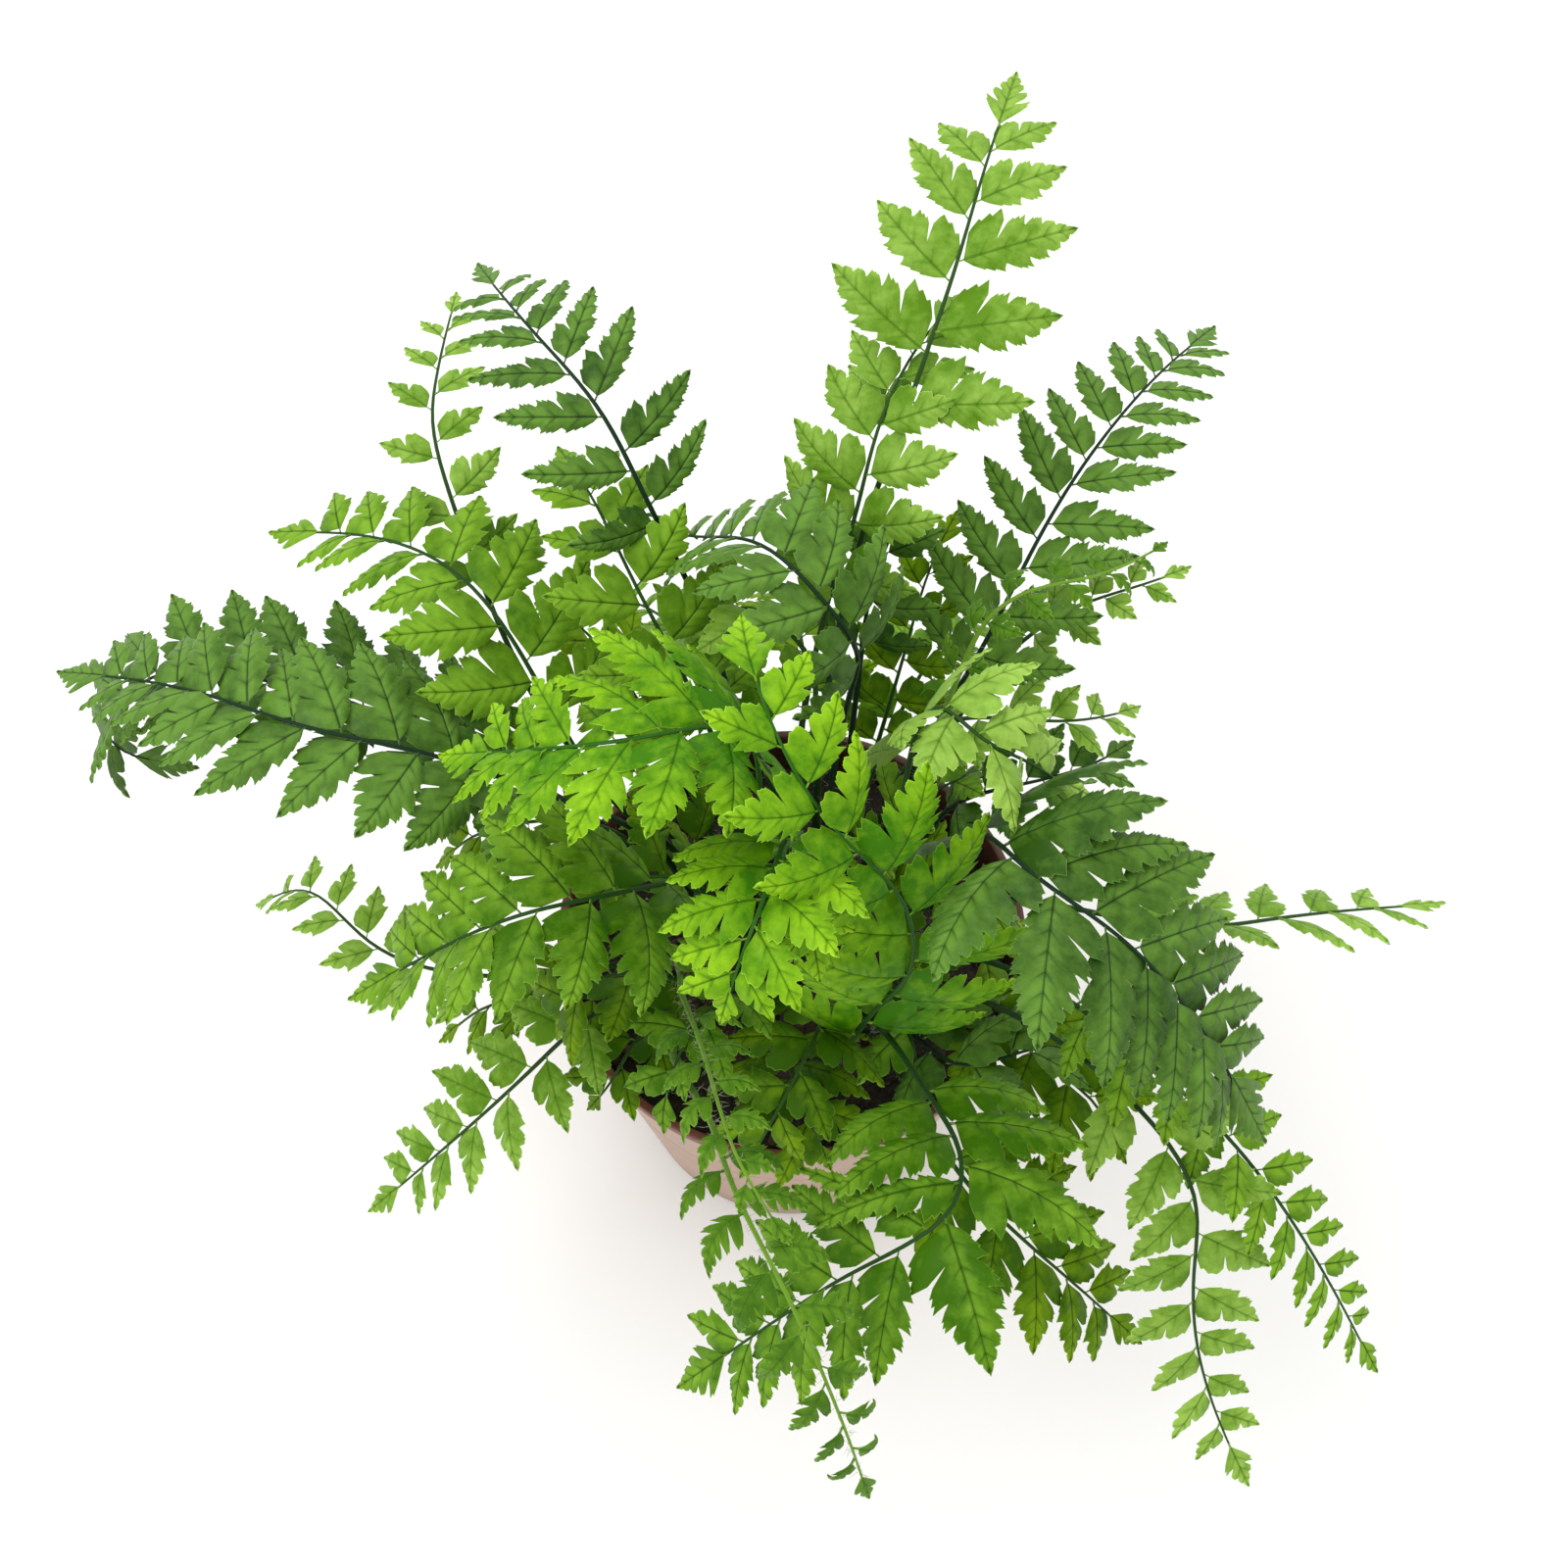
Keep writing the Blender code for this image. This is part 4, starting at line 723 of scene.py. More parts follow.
# What the fine leaflets are like. A lobe's margin is a run of (place in the lobe, fullness,
# tooth); the fullness goes from the notch before the lobe to the lobe's outer edge.
leafLook = {
    "fineLobe": [(0.00, 0.00, 0), (0.06, 0.50, 0), (0.20, 0.86, 0.9), (0.27, 0.80, 0),
                 (0.42, 0.98, 1.0), (0.50, 0.90, 0), (0.66, 1.10, 1.4), (0.76, 0.84, 0),
                 (0.90, 0.34, 0)],
    "plainLobe": [(0.00, 0.00, 0), (0.12, 0.62, 0), (0.36, 0.96, 0.8), (0.44, 0.88, 0),
                  (0.66, 1.10, 1.2), (0.80, 0.62, 0)],
    "lobeLength": 4.4,
    "youngLobe": 2.4,
    "tipLobe": 3.6,
    "lobeSpread": 0.10,
    "lobeLoss": 0.55,     # how much shorter the lobes get towards the tip
    "lobesEnd": 0.985,
    "notchLoss": 0.8,
    "tooth": 0.50,
    "toothLoss": 0.35,
    "levels": (-0.03, 0.03),
    "between": 0.55,      # the line half way out
    "taper": (1.7, 0.9),
    "openingEnd": 0.16,
    "veinAt": 0.66,       # place in the lobe
    "sags": (0.3, 1.6),
    "curls": (0.5, 1.5),
    "shingles": (0.11, 0.20),
    "thickness": 0.16,
    "ribThickness": 0.50,
    "ribHalf": 0.34,
    "quilting": 0.62,
    "petiolule": 0.9,
    "sunk": 0.5,
    "crowding": 1.18,
    "pointed": 0.58,
    "auricle": 1.18,
    "auricleNotch": 0.55,
    "firstNotch": 0.25,
    "tipNotch": 0.36,
    "tipLean": 40,
    "tint": 0.18,         # at the foot, what it gains, and how much fronds and leaflets differ
    "tintGain": 0.28,
    "tipTint": 0.5,
    "frondTints": (-0.08, 0.08),
    "leafTints": (-0.15, 0.15),
    "stalkStep": 3.2,
    "stalkInTip": 0.25,
    "widthMore": 2,
    "leastWidth": 0.24,
    "seed": 5000,
    # for the side towards the tip and the other: fullness at the foot, what it gains, by where,
    # and the angle at which the margin opens
    "sides": ((1, 0.66, 0.34, 0.2, 78), (-1, 0.24, 0.76, 0.3, 54)),
}

tones = {
    "light": {"notch": 0.64, "curl": 0.05, "wide": 0.45, "lean": 46},
    "bright": {"notch": 0.46, "curl": 0.07, "wide": 0.44, "lean": 43},
    "mid": {"notch": 0.58, "curl": 0.08, "wide": 0.42, "lean": 46},
    "dark": {"notch": 0.68, "curl": 0.06, "wide": 0.38, "lean": 45},
    "olive": {"notch": 0.58, "curl": 0.07, "wide": 0.46, "lean": 46},
    "young": {"notch": 0.24, "curl": 0.40, "wide": 0.46, "lean": 56},
}

# Fronds whose leaflets are narrower or fuller than their tone's.
frondWidths = {
    "back_right": 0.84, "left_up_dark": 0.72, "left_up_light": 0.85, "back_tall": 0.94,
    "right_low_outer": 0.85, "right_far_narrow": 0.85, "left_long": 1.12, "left_broad": 1.08,
    "left_up_mid": 1.15, "left_inner_up": 1.15, "right_big": 1.08,
}


# Stations along a leaflet's midrib: (place, how full the margin is, tooth, place in the lobe,
# share of the side towards the tip, fullness in the lobe).
def marginStations(length, lobes, notch, rng, style):
    start = min(0.12, leafLook["petiolule"] / length)
    shares = np.array([1 - leafLook["lobeLoss"] * k / lobes for k in range(lobes)])
    ends = np.concatenate([[0], np.cumsum(shares / shares.sum())])
    bounds = start + (leafLook["lobesEnd"] - start) * ends
    spread = leafLook["lobeSpread"]
    rows = [(-leafLook["sunk"] / length, 0, 0, 0, 1, 1), (start * 0.7, 0, 0, 0, 1, 1)]
    for k in range(lobes):
        low, high = bounds[k], bounds[k + 1]
        deep = notch + (1 - notch) * leafLook["notchLoss"] * (k / lobes) ** 1.3
        small = 1 - leafLook["toothLoss"] * k / lobes
        fuller = rng.uniform(1 - spread, 1 + spread)
        for place, full, tooth in style:
            front = leafLook["auricle"] if k == 0 else 1
            if place == 0 and k == 0:
                full = leafLook["firstNotch"]
            if place == 0 and k == 1:
                front = leafLook["auricleNotch"]
            level = deep + (1 - deep) * full * (fuller + rng.uniform(*leafLook["levels"]))
            rows.append((low + (high - low) * place, level, tooth * small, place, front, full))
    return np.array(rows)


class FrondHeap(Heap):
    # a lobed blade, closed, with its margins sharp; surface(t, sideways) gives points and facings
    def blade(self, surface, length, halves, lobes, notch, rng, tint, style, lean, isTip, flip):
        c, level, tooth, place, front, full = marginStations(length, lobes, notch, rng, style).T
        count = len(c)
        ahead = np.maximum(c, 0)
        taper = (1 - ahead ** leafLook["taper"][0]) ** leafLook["taper"][1]
        ribHalf = leafLook["ribHalf"] * min(1, 0.45 + length / 40)
        margins = {}
        for half, (side, foot, gain, by, opening) in zip(halves, leafLook["sides"]):
            shape = taper
            angle = np.full(count, math.radians(lean))
            wobble = rng.uniform(-3, 3)
            if not isTip:
                shape = taper * (front if side > 0 else 1)
                shape = shape * (foot + gain * np.clip(c / by, 0, 1) ** 0.8)
                fade = np.exp(-(ahead / leafLook["openingEnd"]) ** 1.5)
                angle = np.radians(lean + (opening - lean) * fade + wobble)
            angle = np.where(level > 0, angle, math.pi / 2)
            reach = half * shape * level / math.sin(math.radians(lean))
            reach = reach + tooth * leafLook["tooth"] * min(1, length / 22)
            slope = leafLook["pointed"]
            room = (1 - c) * length * slope / (np.sin(angle) + slope * np.cos(angle))
            reach = np.minimum(reach, room * (0.78 + 0.26 * full))
            margins[side] = np.where(level > 0, reach, ribHalf * 0.6), angle
        vein = np.abs(place - leafLook["veinAt"]) * 0.8 * length / lobes
        bow = np.sin(np.pi * np.clip(place, 0, 1)) * leafLook["quilting"] * min(1, length / 26)
        sag = bow * rng.uniform(*leafLook["sags"])
        thick = leafLook["thickness"]

        # a line of points along the blade, at a share of the way from the midrib to a margin
        def line(side, share=None, under=False):
            reach, angle = margins[side]
            v = np.full(count, share)
            if share is None:
                v = np.minimum(ribHalf / np.maximum(reach, 0.01), 0.4)
            height = (bow if share else 0.25 * bow) + thick * (1 - v * v)
            if under:
                height = bow - thick - 0.1
            if share == 1:
                height = -0.6 * sag
            t = np.minimum(c + v * reach * np.cos(angle) / length, 0.999)
            sideways = side * v * reach * np.sin(angle)
            return t, sideways, height, v * reach, (1 - v) * reach, share == 1

        def midrib(height):
            edge = np.maximum(margins[1][0], margins[-1][0])
            return c, np.zeros(count), np.full(count, height), np.zeros(count), edge, False

        between = leafLook["between"]
        lines = [line(1, 1), line(1, between), line(1), midrib(0.02), line(-1), line(-1, between),
                 line(-1, 1), line(-1, between, True), midrib(-leafLook["ribThickness"]),
                 line(1, between, True)]
        ring = len(lines)
        points, maps, hard = [], [], []
        for t, sideways, height, rib, edge, marked in lines:
            point, facing = surface(t, sideways)
            points.append(point + facing * height[:, None])
            maps.append(np.stack([rib, vein, edge], axis=1))
            hard.append(np.full(count, marked))
        points, maps = [np.stack(rows, axis=1).reshape(-1, 3) for rows in (points, maps)]
        points = np.concatenate([points, surface(np.ones(1), np.zeros(1))[0]])
        maps = np.concatenate([maps, [[0, 0.5, 0]]])
        hard = np.append(np.stack(hard, axis=1), True)
        under = np.append(np.tile([0] * 7 + [1] * 3, count), 0)
        along = np.append(np.repeat(c, ring), 1)
        tints = np.stack([along, np.full(len(points), tint), under], axis=1)
        end = (count - 1) * ring
        faces = [tuple(range(ring))] + walls(count, ring)
        faces += [(end + k, end + ring, end + (k + 1) % ring) for k in range(ring)]
        if flip:
            faces = [face[::-1] for face in faces]
        self.add(points, faces, 0, hard, leafMap=maps, leafTint=tints)

    def leaflet(self, stem, leaf, width, look, rng, tint):
        young = stem.frond.tone == "young"
        lobeLength = leafLook["youngLobe" if young else "lobeLength"]
        lobes = int(np.clip(round(leaf.length / lobeLength), 3, 9))
        style = leafLook["fineLobe" if leaf.length > 15 and not young else "plainLobe"]
        half = 0.5 * width
        curl = look["curl"] * rng.uniform(*leafLook["curls"])
        shingle = rng.uniform(*leafLook["shingles"])

        def surface(t, sideways):
            return leafSurface(stem, leaf, t, sideways, curl, shingle)

        self.blade(surface, leaf.length, (half * 1.06, half * 0.94), lobes, look["notch"], rng,
                   tint, style, look["lean"], False, leaf.side > 0)

    def tip(self, stem, length, slope, rng, tint):
        half = min(0.18 * stem.frond.leaf, 0.34 * length) * frondWidths.get(stem.frond.name, 1)
        lobes = int(np.clip(round(length / leafLook["tipLobe"]), 3, 6))

        def surface(t, sideways):
            return tipSurface(stem, length, slope, t, sideways)

        self.blade(surface, length, (half, half), lobes, leafLook["tipNotch"], rng, tint,
                   leafLook["plainLobe"], leafLook["tipLean"], True, False)

    def stalk(self, stem, end):  # round below, two ridges and a groove above
        around = np.radians([90, 50, 10, -35, -90, -145, 170, 130])
        swell = np.array([0.62, 1.02, 1.0, 1.0, 1.05, 1.0, 1.0, 1.02])
        places = np.append(np.arange(0, end, leafLook["stalkStep"]), end)
        centre, _, side, normal = stem.frames(places)
        stops = [0, stem.foot, stem.blade, stem.length]
        r = stem.radius(places) * np.interp(places, stops, [0.86, 0.86, 0.66, 0.40])
        flat = (np.cos(around) * swell)[None, :, None] * side[:, None, :]
        tall = (np.sin(around) * swell)[None, :, None] * normal[:, None, :]
        points = (centre[:, None, :] + r[:, None, None] * (flat + tall)).reshape(-1, 3)
        maps = np.stack([np.repeat(places / stem.length, len(around)),
                         np.tile(swell < 0.9, len(places)), np.zeros(len(points))], axis=1)
        faces = tube(len(places), len(around), True)
        self.add(points, faces, 1, leafMap=maps, leafTint=(0, 0, 0))


# How broad each leaflet is made: as its tone asks, or as the neighbours' middles leave room.
def fineWidths(stem, leaves, look):
    middles = {}
    for leaf in leaves:
        point, _ = leafSurface(stem, leaf, np.array([0.45]), np.zeros(1))
        middles[leaf.side, leaf.pair] = point[0], leafAxes(stem, leaf)[1]
    widths = []
    for leaf in leaves:
        here, along = middles[leaf.side, leaf.pair]
        gaps = []
        for step in (-1, 1):
            other = middles.get((leaf.side, leaf.pair + step))
            if other:
                apart = other[0] - here
                gaps.append(np.linalg.norm(apart - np.dot(apart, along) * along))
        room = leafLook["crowding"] * sum(gaps) / len(gaps) if gaps else leaf.length
        width = min(look["wide"] * leaf.length + leafLook["widthMore"], room)
        width = max(width, leafLook["leastWidth"] * leaf.length)
        widths.append(width * frondWidths.get(stem.frond.name, 1))
    return widths


leafColours = {
    "light": {"deep": (0.10, 0.235, 0.008), "fresh": (0.33, 0.54, 0.085),
              "vein": (0.065, 0.18, 0.006),
              "stalk": ((0.012, 0.036, 0.010), (0.032, 0.095, 0.012))},
    "bright": {"deep": (0.045, 0.185, 0.0005), "fresh": (0.31, 0.585, 0.012),
               "vein": (0.022, 0.11, 0.001),
               "stalk": ((0.012, 0.045, 0.008), (0.030, 0.16, 0.006))},
    "mid": {"deep": (0.042, 0.135, 0.0005), "fresh": (0.19, 0.375, 0.020),
            "vein": (0.014, 0.060, 0.002),
            "stalk": ((0.012, 0.045, 0.008), (0.022, 0.085, 0.010))},
    "dark": {"deep": (0.021, 0.073, 0.002), "fresh": (0.115, 0.250, 0.026),
             "vein": (0.006, 0.028, 0.004),
             "stalk": ((0.007, 0.022, 0.009), (0.009, 0.040, 0.012))},
    "olive": {"deep": (0.042, 0.125, 0.0005), "fresh": (0.19, 0.34, 0.003),
              "vein": (0.018, 0.065, 0.001),
              "stalk": ((0.020, 0.055, 0.010), (0.035, 0.11, 0.010))},
    "young": {"deep": (0.040, 0.12, 0.004), "fresh": (0.14, 0.30, 0.014),
              "vein": (0.06, 0.17, 0.010),
              "stalk": ((0.10, 0.22, 0.018), (0.17, 0.34, 0.025))},
}


def leafFinish(tone):
    deep, freshest, veinColour, _ = leafColours[tone].values()
    made = Finish("leaf_" + tone, 0.42, 0.16 if tone == "dark" else 0.09)
    rib, vein, edge = made.attribute("leafMap")
    along, tint, under = made.attribute("leafTint")
    patches = made.noise(150, 4, 0.6)
    grain = made.noise(900, 2)
    mottle = made.noise(420, 4, 0.65)
    fresh = along * 0.45 + tint + (patches - 0.5) * 1.5 + (mottle - 0.5) * 0.9
    # painted fold shade: for these tones the blade is paler along the midrib and darker towards the
    # margins
    if tone in ("dark", "mid", "olive"):
        fresh = fresh + rib.within(4.2, 0.8) * 0.34 - 0.15
    if tone == "bright":
        fresh = fresh + along * 0.20 - (patches - 0.5) * 0.3 - 0.06
    colour = made.mix(fresh.clamped(), deep, freshest)
    shade = (vein + (mottle - 0.5) * 0.5).within(0.9, 0.1) * 0.35
    colour = made.mix(shade * rib.within(5.0, 0.6), colour, deep)
    lines = (vein + (mottle - 0.5) * 0.30).within(0.26, 0.04) * rib.within(4.5, 0.6)
    colour = made.mix(lines * 0.34, colour, veinColour)
    midrib = (rib + along * 0.16).within(0.36, 0.12)
    colour = made.mix(midrib * 0.85, colour, veinColour)
    # lighter leaflet margins: the margin's own paler colour with a painted highlight along the edge
    margin = edge.within(0.26, 0.05) * (patches * 0.9)
    colour = made.mix(margin, colour, shaded(freshest, 1.30, 0.06))
    colour = made.mix(under * 0.55, colour, shaded(freshest, 0.75, 0.02))
    height = grain * 0.25 + patches * 0.5 - lines * 0.7 - rib.within(0.5, 0.1)
    return made.done(colour, 0.36 + grain * 0.16 + under * 0.15, (height, 0.00025, 0.7))


def stalkFinish(tone):
    low, high = leafColours[tone]["stalk"]
    made = Finish("stalk_" + tone, 0.4, 0.12)
    share, groove, _ = made.attribute("leafMap")
    streaks = made.noise(420, 3)
    colour = made.mix((share + (streaks - 0.5) * 0.4).clamped(), low, high)
    colour = made.mix(share.within(0.16, 0.02), colour, (0.035, 0.022, 0.012))
    # painted shade in the groove on top of the stalk
    colour = made.mix(groove * 0.4, colour, shaded(low, 0.6))
    return made.done(colour, 0.34 + streaks * 0.2, (streaks, 0.0002, 0.5))


def makeFronds(planned):
    finishes = {tone: (leafFinish(tone), stalkFinish(tone)) for tone in tones}
    total = 0
    for index, (stem, leaves, tip) in enumerate(planned):
        rng = random.Random(leafLook["seed"] + index)
        tone = stem.frond.tone
        heap = FrondHeap()
        frondTint = rng.uniform(*leafLook["frondTints"]) + stem.frond.tint
        for leaf, width in zip(leaves, fineWidths(stem, leaves, tones[tone])):
            tint = leafLook["tint"] + leafLook["tintGain"] * leaf.pair / stem.pairs + frondTint
            tint += rng.uniform(*leafLook["leafTints"])
            heap.leaflet(stem, leaf, width, tones[tone], rng, tint)
        end = stem.last
        if tip:
            heap.tip(stem, *tip, rng, leafLook["tipTint"] + frondTint)
            end = stem.last + leafLook["stalkInTip"] * tip[0]
        heap.stalk(stem, end)
        node = "frond_" + stem.frond.name
        heap.piece(node + "_fine", finishes[tone], "leaf_" + tone, node)
        total += heap.count
    print("fronds", total, "points")


planned = plannedFronds()
print("planned", len(planned), "fronds,", sum(len(p[1]) for p in planned), "leaflets,",
      sum(1 for p in planned if p[2]), "tips")
makeFronds(planned)

# Pot: turned from its outline, then bored for drainage.
potLook = {
    "height": 100,
    "rim": 60,
    "base": 44,
    "wall": 1.3,
    "floor": 2.0,
    "lip": 4,
    "lipOut": 1.2,
    "grooves": 61,
    "softness": 0.7,
    "sides": 128,
    "drainHoles": 4,
    "drainRadius": 4,
    "drainCircle": 30,
    "drainSides": 32,
    "outside": (0.45, 0.29, 0.215),
    # painted shade: the inner wall and the lip have the pot's colour darkened as in shade
    "inside": (0.050, 0.018, 0.010),
    # the rim's terracotta band, darkened as painted shade
    "rimBand": (0.17, 0.046, 0.026),
    "rimBandSide": 235,     # degrees round, where the rim's colour shows best; away from it the rim keeps more painted shade
}


def wallRadius(z):
    base = potLook["base"]
    return base + (potLook["rim"] - potLook["lipOut"] - base) * z / potLook["height"]


def turnedMesh(name, outline, sides):
    mesh = bpy.data.meshes.new(name)
    mesh.from_pydata([(r * mm, 0, z * mm) for r, z in outline],
                     [(i, i + 1) for i in range(len(outline) - 1)], [])
    made = added(name, mesh)
    turn = made.modifiers.new("turn", "SCREW")
    turn.steps = turn.render_steps = sides
    turn.use_merge_vertices = True
    turn.merge_threshold = 0.00001
    return made


def settle(made):  # modifiers applied
    graph = bpy.context.evaluated_depsgraph_get()
    mesh = bpy.data.meshes.new_from_object(made.evaluated_get(graph))
    made.modifiers.clear()
    made.data = mesh


def rounded(points, radius, steps=3):  # an outline with its corners cut to short arcs
    made = [points[0]]
    for back, here, on in zip(points, points[1:], points[2:]):
        here = np.array(here, float)
        back, on = np.array(back, float) - here, np.array(on, float) - here
        r = min(radius, 0.45 * np.linalg.norm(back), 0.45 * np.linalg.norm(on))
        first, last = here + unit(back) * r, here + unit(on) * r
        for k in range(steps + 1):
            u = k / steps
            made.append(tuple((1 - u) ** 2 * first + 2 * u * (1 - u) * here + u * u * last))
    return made + [points[-1]]


def potFinish():
    made = Finish("pot_plastic", 0.42)
    side, high, rimBandFacing = made.attribute("potMap")
    cloud = made.noise(60, 4)
    grain = made.noise(1400, 2)
    outer = made.mix(cloud, potLook["outside"], shaded(potLook["outside"], 0.86))
    # darker towards the bottom
    outer = made.mix(high.within(0.16, 0.10) * 0.35, outer, (0.20, 0.145, 0.11))
    chalk = made.noise(90, 5, 0.75).within(0.56, 0.66) * high.within(0.55, 0.70)
    outer = made.mix(chalk * 0.30, outer, (0.62, 0.50, 0.42))
    # darker patches, only towards the bottom
    lowDarkPatches = made.noise(260, 5, 0.7).within(0.60, 0.74) * high.within(0.25, 0.0)
    outer = made.mix(lowDarkPatches * 0.5, outer, (0.10, 0.06, 0.04))
    # painted shade on the inner wall and the lip: the plastic's colour darkened as in shade
    inner = made.mix(cloud, potLook["inside"], shaded(potLook["inside"], 0.6))
    # painted shade on the rim: the terracotta band, itself darkened as in shade, is strongest on
    # the front-left; round the back the rim stays nearer the painted shade of the inside
    band = high.within(0.952, 0.962) * (rimBandFacing * 0.67 + 0.25)
    colour = made.mix(band, made.mix(side, outer, inner), potLook["rimBand"])
    bump = grain + cloud * 0.4, 0.00015, 0.4
    return made.done(colour, 0.36 + grain * 0.14 + cloud * 0.1, bump)


def drillMesh():
    count, holes = potLook["drainSides"], potLook["drainHoles"]
    corners, faces = [], []
    for x, y in circle((0, 0), potLook["drainCircle"], 2 * holes)[1::2]:
        faces += [tuple(len(corners) + k for k in face) for face in tube(2, count, True)]
        for z in (-3, 5):
            corners += [(a * mm, b * mm, z * mm)
                        for a, b in circle((x, y), potLook["drainRadius"], count)]
    mesh = bpy.data.meshes.new("drill")
    mesh.from_pydata(corners, [], faces)
    return mesh


def makePot():
    rim, wall, floorTop, top = [potLook[key] for key in ("rim", "wall", "floor", "height")]
    lipLow, groove = top - potLook["lip"], potLook["grooves"]
    innerTop = wallRadius(top) - wall
    outline = [(0, floorTop), (wallRadius(floorTop) - wall - 0.2, floorTop), (innerTop, top - 1.2),
               (innerTop + 0.3, top), (rim - 0.1, top), (rim - 0.15, top - 1.4),
               (rim - 0.25, lipLow + 0.3), (wallRadius(lipLow) + 0.1, lipLow - 0.4)]
    outline += [(wallRadius(z) + out, z) for z, out in
                ((groove + 1, 0.05), (groove, -0.25), (groove - 1, 0.05), (3, 0))]
    outline += [(potLook["base"] - 0.3, 0), (potLook["base"] - 4, 0), (0, 0)]
    pot = turnedMesh("pot_fine", rounded(outline, potLook["softness"]), potLook["sides"])
    settle(pot)
    cutter = added("drill", drillMesh())
    bore = pot.modifiers.new("bore", "BOOLEAN")
    bore.operation, bore.solver, bore.object = "DIFFERENCE", "EXACT", cutter
    settle(pot)
    bpy.data.objects.remove(cutter)
    mesh = pot.data
    mesh.materials.clear()
    mesh.materials.append(potFinish().material)
    mesh.shade_smooth()
    mesh.set_sharp_from_angle(angle=math.radians(38))
    x, y, z = (np.array([v.co for v in mesh.vertices]) / mm).T
    inside = (np.hypot(x, y) < wallRadius(z) - 0.5 * wall) & (z > 0.5)
    # 1 on the side where the rim's band is strongest; round the back the rim keeps more painted
    # shade
    around = np.arctan2(y, x) - math.radians(potLook["rimBandSide"])
    rimBandFacing = 0.5 + 0.5 * np.cos(around)
    # the first number marks the inner wall and the lip, which are painted with shade
    carry(mesh, "potMap", np.stack([inside | (z > lipLow - 0.2), z / top, rimBandFacing], axis=1))
    handOver(pot, "pot")
    print("pot", len(mesh.vertices), "points")


# Soil: a crumbly surface with loose crumbs, pale specks and fibres on it.
soilLook = {
    "top": 88,
    "crown": 2,
    "crownReach": 58,
    "lumpScale": 0.16,
    "rings": 46,
    "sides": 150,
    "roughness": 1.5,
    "gap": 0.3,
    "crumbs": 900,
    "crumbSizes": (0.5, 0.7, 0.9, 1.3, 1.9),
    "specks": 60,
    "speckSizes": (0.5, 1.1),
    "fibres": 90,
    "fibrePoints": 6,
    "fibreStep": 1.3,
    "fibreRadii": (0.07, 0.15),
    "seed": 11,
}


def soilHeight(x, y):
    crown = soilLook["crown"] * (1 - (math.hypot(x, y) / soilLook["crownReach"]) ** 2)
    scale = soilLook["lumpScale"]
    lumps = noise.fractal(Vector((x * scale, y * scale, 3.0)), 0.8, 2.1, 4)
    return soilLook["top"] - 0.8 + crown + soilLook["roughness"] * lumps * 0.5


def soilFinish():
    made = Finish("potting_soil", 0.92)
    grains = made.cells(900)
    cloud = made.noise(170, 5, 0.65)
    fine = made.noise(1500, 3)
    kind = made.attribute("soilMap")[0]
    colour = made.mix(cloud, (0.006, 0.005, 0.004), (0.035, 0.024, 0.016))
    colour = made.mix(grains.within(0.55, 0.8) * 0.5, colour, (0.07, 0.045, 0.028))
    colour = made.mix(kind.within(0.3, 0.45), colour, (0.075, 0.045, 0.025))
    colour = made.mix(kind.within(0.7, 0.9), colour, (0.50, 0.46, 0.40))
    return made.done(colour, 0.86 + fine * 0.12, (grains * 0.6 + fine, 0.0005, 0.9))


# A round heap: rings from the middle out, then a lower ring at the foot and a flat underside.
def mound(centre, radii, sides, height, foot, low):
    points = [(*centre, height(*centre))]
    for r in radii:
        points += [(x, y, height(x, y)) for x, y in circle(centre, r, sides)]
    points += [(x, y, low) for x, y in circle(centre, foot, sides)]
    last = len(points) - sides
    faces = [(0, 1 + k, 1 + (k + 1) % sides) for k in range(sides)]
    faces += walls(len(radii) + 1, sides, 1) + [tuple(range(last, last + sides))[::-1]]
    return np.array(points), faces


def lump(rng, size, flat=0.8):  # a closed uneven lump, from a ball of three rings of six
    points = [(0, 0, 1)]
    for i in range(1, 4):
        down = math.pi * i / 4
        turns = [fullTurn * (k + 0.5 * (i % 2)) / 6 for k in range(6)]
        points += [(math.sin(down) * math.cos(a), math.sin(down) * math.sin(a), math.cos(down))
                   for a in turns]
    points = np.array(points + [(0, 0, -1)]) * rng.uniform(0.75, 1.2)
    jitter = np.array([rng.uniform(0.7, 1.25) for _ in points])[:, None]
    points = points * jitter * np.array([size, size * rng.uniform(0.55, 1), size * flat])
    faces = walls(3, 6, 1)
    for k in range(6):
        n = (k + 1) % 6
        faces += [(0, 1 + k, 1 + n), (13 + k, 19, 13 + n)]
    turn = rng.uniform(0, fullTurn)
    c, s = math.cos(turn), math.sin(turn)
    return points @ np.array([[c, s, 0], [-s, c, 0], [0, 0, 1]]), faces


def thread(route, radius, sides=4):  # a thin closed tube along a few points
    route = np.array(route, float)
    radius = np.broadcast_to(radius, len(route))
    tangent = units(np.gradient(route, axis=0))
    side = units(np.cross(tangent, (0.13, 0.21, 0.97)))
    normal = np.cross(side, tangent)
    turns = [fullTurn * k / sides for k in range(sides)]
    points = [route[i] + radius[i] * (math.cos(a) * side[i] + math.sin(a) * normal[i])
              for i in range(len(route)) for a in turns]
    return np.array(points), tube(len(route), sides)


